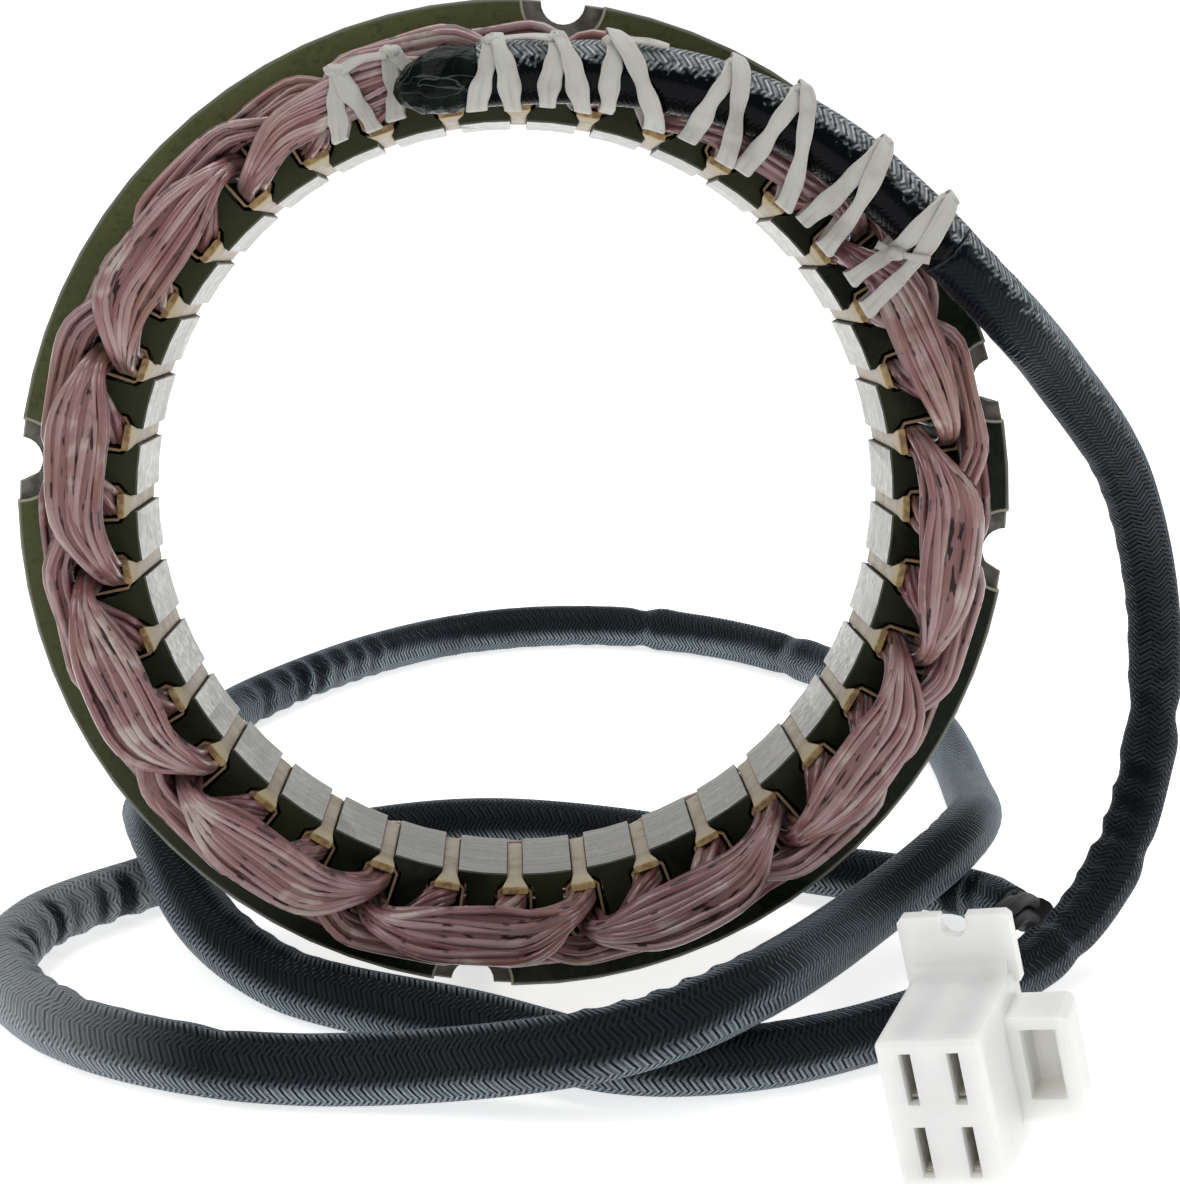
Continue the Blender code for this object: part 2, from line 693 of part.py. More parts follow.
def build_connector(place):
    """Moulded housing with four blade ways, a notched tab on top and a latch at its side."""

    def body(bm):
        add_block(bm, (0.0, 0.0, 0.0), (HOUSING_WIDTH, HOUSING_LENGTH, HOUSING_HEIGHT))
        bmesh.ops.bevel(
            bm, geom=bm.edges[:], offset=HOUSING_ROUND, segments=2, affect="EDGES", profile=0.5
        )

    def tab(bm):
        middle = HOUSING_WIDTH / 2
        top = HOUSING_HEIGHT + TAB_HEIGHT
        half = TAB_WIDTH / 2
        notch = TAB_NOTCH / 2
        outline = [(middle - half, HOUSING_HEIGHT - 2 * HOUSING_ROUND)]
        outline.append((middle + half, HOUSING_HEIGHT - 2 * HOUSING_ROUND))
        outline.append((middle + half, top - HOUSING_ROUND))
        outline.append((middle + half - HOUSING_ROUND, top))
        for k in range(9):
            angle = math.pi * k / 8
            outline.append((middle + notch * math.cos(angle), top - notch * 0.7 - notch * math.sin(angle)))
        outline.insert(4, (middle + notch, top))
        outline.append((middle - notch, top))
        outline.append((middle - half + HOUSING_ROUND, top))
        outline.append((middle - half, top - HOUSING_ROUND))
        add_prism(bm, outline, 0.0, TAB_THICKNESS)
        turn = Matrix.Translation((0.0, HOUSING_LENGTH, 0.0)) @ Matrix.Rotation(math.pi / 2, 4, "X")
        bmesh.ops.transform(bm, matrix=turn, verts=bm.verts)

    def fillet(bm):
        front = HOUSING_LENGTH - TAB_THICKNESS
        base = HOUSING_HEIGHT - HOUSING_ROUND
        outline = [(front + HOUSING_ROUND, base), (front + HOUSING_ROUND, base + TAB_FILLET + HOUSING_ROUND)]
        for k in range(7):
            angle = math.pi / 2 * k / 6
            y = front - TAB_FILLET + TAB_FILLET * math.cos(angle)
            z = HOUSING_HEIGHT + TAB_FILLET - TAB_FILLET * math.sin(angle)
            outline.append((y, z))
        outline.append((front - TAB_FILLET, base))
        add_prism(bm, outline, HOUSING_ROUND, HOUSING_WIDTH - HOUSING_ROUND)
        swap = Matrix(((0, 0, 1, 0), (1, 0, 0, 0), (0, 1, 0, 0), (0, 0, 0, 1)))
        bmesh.ops.transform(bm, matrix=swap, verts=bm.verts)

    def latch(bm):
        low = (HOUSING_WIDTH - HOUSING_ROUND, LATCH_BACK, LATCH_BASE)
        high = (HOUSING_WIDTH + LATCH_REACH, LATCH_BACK + LATCH_LENGTH, LATCH_BASE + LATCH_HEIGHT)
        add_block(bm, low, high)
        outer = [edge for edge in bm.edges if all(v.co.x > HOUSING_WIDTH for v in edge.verts)]
        bmesh.ops.bevel(bm, geom=outer, offset=2 * HOUSING_ROUND, segments=3, affect="EDGES", profile=0.5)

    def pocket(bm):
        low = (HOUSING_WIDTH + LATCH_WALL, LATCH_BACK - 0.001, LATCH_BASE + 2 * LATCH_WALL)
        high = (
            HOUSING_WIDTH + LATCH_REACH - LATCH_WALL,
            LATCH_BACK + LATCH_LENGTH - LATCH_WALL,
            LATCH_BASE + LATCH_HEIGHT - LATCH_WALL,
        )
        add_block(bm, low, high)

    def mouths(bm):
        for x, z in way_centres():
            low = (x - SLOT_WIDTH / 2, -0.001, z - SLOT_HEIGHT / 2)
            high = (x + SLOT_WIDTH / 2, MOUTH_DEPTH + 0.0005, z + SLOT_HEIGHT / 2)
            add_block(bm, low, high)

    def cavities(bm):
        for x, z in way_centres():
            low = (x - CAVITY_WIDTH / 2, MOUTH_DEPTH, z - CAVITY_HEIGHT / 2)
            high = (x + CAVITY_WIDTH / 2, HOUSING_LENGTH + 0.001, z + CAVITY_HEIGHT / 2)
            add_block(bm, low, high)

    housing = mesh_object("connector_housing", body, place, math.radians(40))
    for name, build in (("tab", tab), ("tab_fillet", fillet), ("latch", latch)):
        piece = mesh_object(f"{name}_guide", build, place)
        piece.hide_render = True
        piece.display_type = "WIRE"
        boolean = housing.modifiers.new(name, "BOOLEAN")
        boolean.operation = "UNION"
        boolean.object = piece
    cut(housing, mesh_object("latch_pocket_cutter", pocket, place))
    cut(housing, mesh_object("mouth_cutter", mouths, place))
    cut(housing, mesh_object("cavity_cutter", cavities, place))
    finish(housing, (0.90, 0.90, 0.87), 0.4)


def build_terminals(place):
    """A receptacle for a 6.3 mm blade in each way: a floor with both sides rolled over."""
    half = CAVITY_HEIGHT / 2 - CLEARANCE - TERMINAL_SHEET / 2
    depth = CAVITY_WIDTH - 2 * CLEARANCE
    sheet = TERMINAL_SHEET
    side = [(-half, 0.0), (half, 0.0), (half, depth), (half * 0.3, depth), (half * 0.3, depth - sheet)]
    side += [(half - sheet, depth - sheet), (half - sheet, sheet), (-half + sheet, sheet)]
    side += [(-half + sheet, depth - sheet), (-half * 0.3, depth - sheet), (-half * 0.3, depth)]
    side += [(-half, depth)]
    for number, (x, z) in enumerate(way_centres(), start=1):

        def receptacle(bm, x=x, z=z):
            add_prism(bm, side, 0.0, TERMINAL_LENGTH)
            start = Vector((x - depth / 2, MOUTH_DEPTH + CLEARANCE, z))
            swap = Matrix(((0, 1, 0, start.x), (0, 0, 1, start.y), (1, 0, 0, start.z), (0, 0, 0, 1)))
            bmesh.ops.transform(bm, matrix=swap, verts=bm.verts)

        terminal = mesh_object(f"terminal_{number}", receptacle, place)
        finish(terminal, (0.62, 0.60, 0.55), 0.35, 1.0)


def build_leads(place, cable_end, cable_way):
    """Four insulated wires from the tape at the end of the sleeve into the ways."""
    back = MOUTH_DEPTH + TERMINAL_LENGTH + 3 * CLEARANCE
    sideways = cable_way.cross(Vector((0.0, 0.0, 1.0))).normalized()
    upright = sideways.cross(cable_way)

    def sections(route, radius, count, sides):
        far = distances(route)
        rings = []
        for k in range(count + 1):
            here = point_at(route, far, far[-1] * k / count)
            along = point_at(route, far, far[-1] * k / count + 0.001) - here
            if k == count:
                along = here - point_at(route, far, far[-1] - 0.001)
            across = along.cross(upright).normalized()
            up = across.cross(along).normalized()
            rings.append([here + across * x + up * y for x, y in circle(radius, sides)])
        return rings

    def binding(bm):
        begin = cable_end + cable_way * CLEARANCE
        line = smooth_curve([begin, begin + cable_way * TAPE_BINDING])
        add_loft(bm, sections(line, 1.25 * LEAD_DIAMETER, 1, 12))

    leads = mesh_object("lead_tails", binding)
    for (x, z), (u, v) in zip(way_centres(), ((-1, 1), (1, 1), (-1, -1), (1, -1))):

        def lead(bm, x=x, z=z, u=u, v=v):
            spread = (sideways * u + upright * v) * 0.55 * LEAD_DIAMETER
            route = [cable_end + cable_way * TAPE_BINDING / 2 + spread]
            route += [Vector(point) + spread for point in LEAD_ROUTE]
            route.append(place.matrix_world @ Vector((x, HOUSING_LENGTH + 0.002, z)))
            route.append(place.matrix_world @ Vector((x, back, z)))
            add_loft(bm, sections(smooth_curve(route), LEAD_DIAMETER / 2, 14, 6))

        piece = mesh_object(f"lead_guide_{u}_{v}", lead)
        piece.hide_render = True
        piece.display_type = "WIRE"
        boolean = leads.modifiers.new(piece.name, "BOOLEAN")
        boolean.operation = "UNION"
        boolean.object = piece
    finish(leads, (0.05, 0.05, 0.05), 0.5)


def main():
    clear_scene()
    axis = add_object("stator_axis", None)
    axis.location = (0.0, 0.0, CORE_HEIGHT)
    axis.rotation_euler = (math.pi / 2 - LEAN, 0.0, 0.0)
    place = add_object("connector_place", None)
    place.location = HOUSING_CORNER
    place.rotation_euler = HOUSING_TURN
    bpy.context.view_layer.update()

    build_core(axis)
    build_papers(axis)
    build_windings(axis)
    cable_end, cable_way = build_harness(axis)
    build_ties(axis)
    build_connector(place)
    build_terminals(place)
    build_leads(place, cable_end, cable_way)


main()
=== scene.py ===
"""A wound stator ring with its laced sleeve, harness and plug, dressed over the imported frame.

Metres, +Z up. The ring stands on its rim and leans back, its front face looks towards -Y.
Angles round the ring are in degrees, clockwise from the top as seen from the front.
"""

import math

import bpy
import numpy as np
from mathutils import Matrix


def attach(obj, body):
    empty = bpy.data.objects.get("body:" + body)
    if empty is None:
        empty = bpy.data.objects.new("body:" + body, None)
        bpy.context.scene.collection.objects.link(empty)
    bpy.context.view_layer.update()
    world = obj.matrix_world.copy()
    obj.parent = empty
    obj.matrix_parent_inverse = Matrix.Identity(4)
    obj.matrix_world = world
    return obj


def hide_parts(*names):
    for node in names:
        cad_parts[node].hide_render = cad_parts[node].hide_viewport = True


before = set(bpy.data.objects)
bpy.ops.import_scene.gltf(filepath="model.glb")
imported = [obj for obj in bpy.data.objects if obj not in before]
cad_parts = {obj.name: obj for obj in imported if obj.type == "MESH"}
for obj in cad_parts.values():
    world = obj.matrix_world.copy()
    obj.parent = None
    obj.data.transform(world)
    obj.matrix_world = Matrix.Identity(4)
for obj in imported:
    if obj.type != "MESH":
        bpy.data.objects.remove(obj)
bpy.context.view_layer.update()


# Camera
# The photograph was taken from a little above the ring, level with its top, looking down at it.

camera = bpy.data.objects.new("photo_camera", bpy.data.cameras.new("photo_camera"))
bpy.context.scene.collection.objects.link(camera)
camera.data.lens = 73.89
camera.data.sensor_width = 36.0
camera.data.clip_start = 0.01
look = np.array([0.030895, 0.961039, -0.27468])
up = np.array([0.004313, 0.27468, 0.961526])
pose = np.eye(4)
pose[:3, 0], pose[:3, 1], pose[:3, 2] = np.cross(look, up), up, -look
pose[:3, 3] = (-0.00049, -0.38403, 0.17063)
camera.matrix_world = Matrix(pose.tolist())
bpy.context.scene.camera = camera


# Harness cable
# A soft woven sleeve over four wires, about 1.17 m from the last tie on the ring to the plug.
# It is limp, falls from the ring to the table and lies in two loops under and behind it.

LEAN = math.radians(8.0)  # of the ring, backwards
RIM_RADIUS = 0.077  # of the core
FACE = 0.0118  # from mid-stack to either face of the core
AXIS_HEIGHT = RIM_RADIUS * math.cos(LEAN) + FACE * math.sin(LEAN)


def over_ring(degrees, radius, height):
    """World points at clockwise angles, radii and heights over mid-stack.

    With t the angle, L the lean and H the height of the axis:
    x = r sin t, y = r cos t sin L - h cos L, z = H + r cos t cos L + h sin L.
    """
    turn = np.radians(degrees)
    upward = radius * np.cos(turn)
    parts = (
        radius * np.sin(turn),
        upward * math.sin(LEAN) - height * math.cos(LEAN),
        AXIS_HEIGHT + upward * math.cos(LEAN) + height * math.sin(LEAN),
    )
    return np.stack(np.broadcast_arrays(*parts), axis=-1)


def lengths(line):
    """How far along the polyline each of its points lies."""
    steps = np.linalg.norm(np.diff(line, axis=0), axis=1)
    return np.concatenate([[0.0], np.cumsum(steps)])


def at_places(line, places):
    """Points of the polyline at the given distances along it."""
    far = lengths(line)
    return np.stack([np.interp(places, far, line[:, k]) for k in range(line.shape[1])], axis=1)


def smooth_line(points, spacing):
    """Evenly spaced points of the centripetal Catmull-Rom curve through the given ones.

    The knots t grow by the square root of each chord. With p0 to p3 round a span, the
    point is the pyramid of blends (t1 - t) / (t1 - t0) p0 + (t - t0) / (t1 - t0) p1.
    """
    p = np.asarray(points, float)
    p = np.vstack([2 * p[0] - p[1], p, 2 * p[-1] - p[-2]])
    knots = np.cumsum(np.sqrt(np.linalg.norm(np.diff(p, axis=0), axis=1)))
    knots = np.concatenate([[0.0], knots])
    spans = []
    for k in range(1, len(p) - 2):
        t = np.linspace(knots[k], knots[k + 1], 40, endpoint=False)[:, None]
        q, s = [p[k - 1 + i] for i in range(4)], knots[k - 1 : k + 3]
        for level in (1, 2):
            q = [
                (q[i] * (s[i + level] - t) + q[i + 1] * (t - s[i])) / (s[i + level] - s[i])
                for i in range(4 - level)
            ]
        spans.append((q[0] * (s[2] - t) + q[1] * (t - s[1])) / (s[2] - s[1]))
    line = np.vstack(spans + [p[-2:-1]])
    whole = lengths(line)[-1]
    return at_places(line, np.linspace(0.0, whole, round(whole / spacing) + 1))


def full_turn(count):
    return np.linspace(0.0, 2 * math.pi, count, endpoint=False)


def signed_power(values, power):
    return np.sign(values) * np.abs(values) ** power


def unit(vectors):
    return vectors / np.linalg.norm(vectors, axis=-1, keepdims=True)


def frames(line, first):
    """Tangent and two cross directions along a line, carried along without twist."""
    along = unit(np.gradient(line, axis=0))
    side = np.empty_like(line)
    side[0] = unit(first - along[0] * np.dot(first, along[0]))
    for k in range(1, len(line)):
        side[k] = unit(side[k - 1] - along[k] * np.dot(side[k - 1], along[k]))
    return along, side, np.cross(along, side)


def piece(name, rings, closed=False, uv=None, weights=None):
    """A mesh piece of one or more grids of rings of points, as arrays (rings, points, 3).

    Neighbouring rings are joined by quads. An open grid gets a cap at each end, a closed
    one joins its last ring to its first. uv is (around, along) for each grid, in metres or
    turns, weights is one number for each ring or point, kept as the attribute "tint". The
    quads are shaded smooth and the caps flat.
    """
    grids = rings if isinstance(rings, list) else [rings]
    verts, quads, caps, uvs, tints = [], [], [], [], []
    start = 0
    for number, grid in enumerate(grids):
        n, m = grid.shape[:2]
        last = n if closed else n - 1
        i, j = np.meshgrid(np.arange(last), np.arange(m), indexing="ij")
        after, beside = (i + 1) % n, (j + 1) % m
        corners = np.stack([i * m + j, i * m + beside, after * m + beside, after * m + j], axis=-1)
        quads.append(corners.reshape(-1, 4) + start)
        if uv is not None:
            around, along = uv[number] if isinstance(uv, list) else uv
            u = np.stack([j, j + 1, j + 1, j], axis=-1) / m * around
            v = np.stack([along[i], along[i], along[after], along[after]], axis=-1)
            uvs.append(np.stack([u, v], axis=-1).reshape(-1, 2))
        if weights is not None:
            tint = np.asarray(weights[number], float)
            tints.append(np.broadcast_to(tint if tint.ndim == 2 else tint[:, None], (n, m)).ravel())
        if not closed:
            caps.append(list(range(start + m - 1, start - 1, -1)))
            caps.append(list(range(start + (n - 1) * m, start + n * m)))
        verts.append(grid.reshape(-1, 3))
        start += n * m
    quads = np.vstack(quads)
    mesh = bpy.data.meshes.new(name)
    mesh.from_pydata(np.vstack(verts).tolist(), [], quads.tolist() + caps)
    if uv is not None:
        layer = mesh.uv_layers.new(name="weave").uv
        flat = np.zeros((len(mesh.loops), 2))
        flat[: 4 * len(quads)] = np.vstack(uvs)
        layer.foreach_set("vector", flat.ravel())
    if weights is not None:
        tint = mesh.attributes.new("tint", "FLOAT", "POINT")
        tint.data.foreach_set("value", np.concatenate(tints))
    mesh.update()
    mesh.validate()
    mesh.shade_smooth()
    corners = np.zeros(len(mesh.polygons), np.int32)
    mesh.polygons.foreach_get("loop_total", corners)
    mesh.polygons.foreach_set("use_smooth", corners <= 4)
    obj = bpy.data.objects.new(name, mesh)
    bpy.context.scene.collection.objects.link(obj)
    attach(obj, "root")
    return obj


def tube(line, first, radius, sides):
    """Rings of a tube: centre + r (cos a side + sin a other), with r for each ring or point."""
    along, side, other = frames(line, np.asarray(first, float))
    turn = full_turn(sides)
    radius = np.asarray(radius, float)
    radius = radius[:, None] if radius.ndim == 1 else radius
    reach = np.broadcast_to(radius, (len(line), sides))[..., None]
    ring = side[:, None] * np.cos(turn)[:, None] + other[:, None] * np.sin(turn)[:, None]
    return line[:, None] + reach * ring


class Finish:
    """A new material with short calls for the nodes that the pieces use."""

    def __init__(self, name, roughness=0.5, metallic=0.0, **constants):
        self.material = bpy.data.materials.new(name)
        self.material.use_nodes = True
        self.tree = self.material.node_tree
        self.shader = self.tree.nodes["Principled BSDF"]
        self.shader.inputs["Roughness"].default_value = roughness
        self.shader.inputs["Metallic"].default_value = metallic
        for key, value in constants.items():
            self.shader.inputs[key.replace("_", " ")].default_value = value

    def make(self, kind, inputs, **settings):
        node = self.tree.nodes.new(kind)
        for key, value in settings.items():
            setattr(node, key, value)
        for key, value in inputs.items():
            if isinstance(value, bpy.types.NodeSocket):
                self.tree.links.new(value, node.inputs[key])
            else:
                node.inputs[key].default_value = value
        return node

    def place(self, output="Object"):
        return self.make("ShaderNodeTexCoord", {}).outputs[output]

    def ring_place(self):
        """Object coordinates turned into the ring's own: x, up along the face, out of the face."""
        inputs = {
            "Vector": self.place(),
            "Location": (0.0, 0.0, AXIS_HEIGHT),
            "Rotation": (math.pi / 2 - LEAN, 0.0, 0.0),
        }
        return self.make("ShaderNodeMapping", inputs, vector_type="TEXTURE").outputs["Vector"]

    def scaled(self, vector, scale):
        inputs = {"Vector": vector, "Scale": scale}
        return self.make("ShaderNodeMapping", inputs).outputs["Vector"]

    def noise(self, vector, scale, detail=3.0, distortion=0.0):
        inputs = {"Vector": vector, "Scale": scale, "Detail": detail, "Distortion": distortion}
        return self.make("ShaderNodeTexNoise", inputs).outputs["Fac"]

    def split(self, vector):
        node = self.make("ShaderNodeSeparateXYZ", {"Vector": vector})
        return node.outputs[0], node.outputs[1], node.outputs[2]

    def joined(self, x, y=0.0):
        return self.make("ShaderNodeCombineXYZ", {0: x, 1: y}).outputs[0]

    def compare(self, operation, a, b):
        """One number from two vectors: their distance or their dot product."""
        vectors = {0: a, 1: b}
        return self.make("ShaderNodeVectorMath", vectors, operation=operation).outputs["Value"]

    def sum(self, operation, a, b=0.0, c=0.0):
        """One number from up to three numbers."""
        return self.make("ShaderNodeMath", {0: a, 1: b, 2: c}, operation=operation).outputs[0]

    def times(self, a, b):
        return self.sum("MULTIPLY", a, b)

    def plus(self, a, b):
        return self.sum("ADD", a, b)

    def minus(self, a, b):
        return self.sum("SUBTRACT", a, b)

    def band(self, value, low, high, out_low=0.0, out_high=1.0):
        """value from low to high becomes out_low to out_high, smoothly, and stays within them."""
        inputs = {
            "Value": value,
            "From Min": low,
            "From Max": high,
            "To Min": out_low,
            "To Max": out_high,
        }
        node = self.make("ShaderNodeMapRange", inputs, interpolation_type="SMOOTHSTEP")
        return node.outputs["Result"]

    def mix(self, share, a, b):
        colours = {"Factor": share}
        node = self.make("ShaderNodeMix", colours, data_type="RGBA")
        for value, socket in ((a, node.inputs[6]), (b, node.inputs[7])):
            if isinstance(value, bpy.types.NodeSocket):
                self.tree.links.new(value, socket)
            else:
                socket.default_value = (*value, 1.0)
        return node.outputs[2]

    def tint(self, name="tint"):
        return self.make("ShaderNodeAttribute", {}, attribute_name=name).outputs["Fac"]

    def bump(self, height, strength, distance, below=None):
        inputs = {"Height": height, "Strength": strength, "Distance": distance}
        if below is not None:
            inputs["Normal"] = below
        return self.make("ShaderNodeBump", inputs).outputs["Normal"]

    def on(self, obj, **sockets):
        """Link sockets of the shader and put the material on the object, alone."""
        for key, value in sockets.items():
            self.tree.links.new(value, self.shader.inputs[key.replace("_", " ")])
        obj.data.materials.clear()
        obj.data.materials.append(self.material)


SLEEVE_RADIUS = 0.0047
SLEEVE_GIRTH = 0.0295
SLEEVE_HEIGHT = FACE + 0.0172  # of its middle where it is laced to the ring
CABLE_STEP = 0.0012  # from one ring of points to the next
FOLD_PITCH = 0.0062

# The laced part as (angle, radius) on the ring, then the free part as points in the world.
HELD_ROUTE = [
    (-14.8, 0.064), (-9.6, 0.0643), (-4.4, 0.0646), (6.0, 0.0652),
    (13.5, 0.0664), (21.0, 0.0678), (28.5, 0.0692), (36.5, 0.0705),
    (44.0, 0.0717), (51.5, 0.073), (58.3, 0.0747),
]
FREE_ROUTE = [
    (0.0699, -0.0212, 0.1146), (0.0763, -0.0165, 0.1083), (0.0839, -0.009, 0.1001),
    (0.099, 0.004, 0.08), (0.1066, 0.009, 0.055), (0.106, 0.005, 0.0306),
    (0.097, -0.007, 0.0135), (0.0826, -0.021, 0.0056), (0.06, -0.04, 0.005),
    (0.035, -0.052, 0.005), (0.015, -0.0527, 0.005), (-0.006, -0.041, 0.005),
    (-0.034, -0.026, 0.005), (-0.05, -0.01, 0.0085), (-0.062, 0.016, 0.0152),
    (-0.067, 0.045, 0.0095), (-0.068, 0.075, 0.005), (-0.058, 0.115, 0.005),
    (-0.018, 0.164, 0.005), (0.018, 0.1735, 0.005), (0.052, 0.159, 0.005),
    (0.083, 0.113, 0.005), (0.086, 0.056, 0.0065), (0.0765, 0.011, 0.0153),
    (0.055, -0.0185, 0.0125), (0.0324, -0.052, 0.0153), (0.0145, -0.0615, 0.0128),
    (-0.0145, -0.057, 0.0066), (-0.045, -0.0525, 0.005), (-0.069, -0.0395, 0.005),
    (-0.082, -0.019, 0.005), (-0.08, 0.0000, 0.005), (-0.066, 0.016, 0.005),
    (-0.04, 0.0345, 0.005), (-0.005, 0.045, 0.005), (0.03, 0.035, 0.005),
    (0.05, 0.0225, 0.005), (0.0665, 0.016, 0.005), (0.078, 0.0087, 0.0052),
    (0.0845, -0.0015, 0.0065),
]
held_points = [over_ring(degrees, radius, SLEEVE_HEIGHT) for degrees, radius in HELD_ROUTE]
whole_line = smooth_line(held_points + FREE_ROUTE, 0.0006)
whole_far = lengths(whole_line)


def place_on_line(point):
    return whole_far[np.argmin(np.linalg.norm(whole_line - point, axis=1))]


leave = place_on_line(held_points[-1])
cable_places = np.arange(leave + 0.00005, whole_far[-1], CABLE_STEP)
cable_line = at_places(whole_line, cable_places)
cable_far = cable_places - leave
# The sleeve is slacker in some stretches, and its end is drawn in under the binding.
cable_swell = np.interp(
    cable_far,
    [0.0, 0.03, 0.1, 0.18, 0.24, 0.34, 0.42, 0.7, 0.8, 0.86, 0.94, 1.02, 1.17],
    [0.96, 0.95, 0.95, 0.97, 1.1, 1.1, 1.00, 1.00, 1.1, 1.15, 1.1, 1.00, 0.94],
)

# A crease is a dip of some share of the radius, with a ridge half as high 5 mm further on.
CREASES = (
    (0.105, 0.14), (0.128, 0.11), (0.15, 0.09), (0.355, 0.07), (0.372, 0.08),
    (0.56, 0.12), (0.6, 0.09), (0.905, 0.03), (0.93, 0.04),
)
lumps = 0.012 * np.sin(cable_far * 61.0) + 0.01 * np.sin(cable_far * 143.0 + 1.3)
for where, depth in CREASES:
    lumps = lumps - depth * np.exp(-(((cable_far - where) / 0.0022) ** 2))
    lumps = lumps + 0.5 * depth * np.exp(-(((cable_far - where - 0.005) / 0.003) ** 2))
cable_radius = SLEEVE_RADIUS * cable_swell * (1.0 + lumps)
cable_radius[-6:] *= np.linspace(1.0, 0.82, 6)
cable_line[:, 2] = np.maximum(cable_line[:, 2], cable_radius + 0.0001)

# The cloth gathers in short folds on the inner side of each tighter bend and in two more places:
# r = r0 (1 - 0.2 f g h), where f goes from 0 to 1 as the bend tightens, g falls from 1 to 0 away
# from the direction b of the bend as ((cos(a - b) + 0.3) / 1.3)^0.6, and h, at most 1, is
# 1 - |cos(pi s / pitch)|^5 with an uneven pitch and depth.
along, side, other = frames(cable_line, np.array([0.0, 0.0, 1.0]))
bend = np.gradient(along, axis=0) / CABLE_STEP
bell = np.exp(-0.5 * (np.arange(-12, 13) / 5.0) ** 2)
bend = np.stack([np.convolve(bend[:, k], bell / bell.sum(), "same") for k in range(3)], axis=1)
tight = np.clip((np.linalg.norm(bend, axis=1) - 13.0) / 13.0, 0.0, 1.0)
outermost = np.argmin(cable_line[:, 0])
far_arc = place_on_line(np.array([-0.045, 0.132, 0.005])) - leave
for gathered in (cable_far[outermost] + 0.038, far_arc):
    tight = np.maximum(tight, np.exp(-(((cable_far - gathered) / 0.024) ** 4)))
around = full_turn(28)
inward = np.arctan2(np.sum(bend * other, axis=1), np.sum(bend * side, axis=1))
facing = np.clip((np.cos(around[None] - inward[:, None]) + 0.3) / 1.3, 0.0, 1.0) ** 0.6
ripple = math.pi * cable_far / FOLD_PITCH + 0.6 * np.sin(cable_far * 90.0)
ripple = 1.0 - np.abs(np.cos(ripple)) ** 5
ripple *= 0.75 + 0.25 * np.sin(cable_far * 310.0 + 2.0 * np.sin(cable_far * 71.0))
fold_depth = tight[:, None] * facing * ripple[:, None]
folds = 1.0 - 0.2 * fold_depth
cable = piece(
    "harness_sleeve",
    tube(cable_line, (0, 0, 1), cable_radius[:, None] * folds, 28),
    uv=(SLEEVE_GIRTH, cable_places),
    weights=[fold_depth],
)
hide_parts("harness_cable")


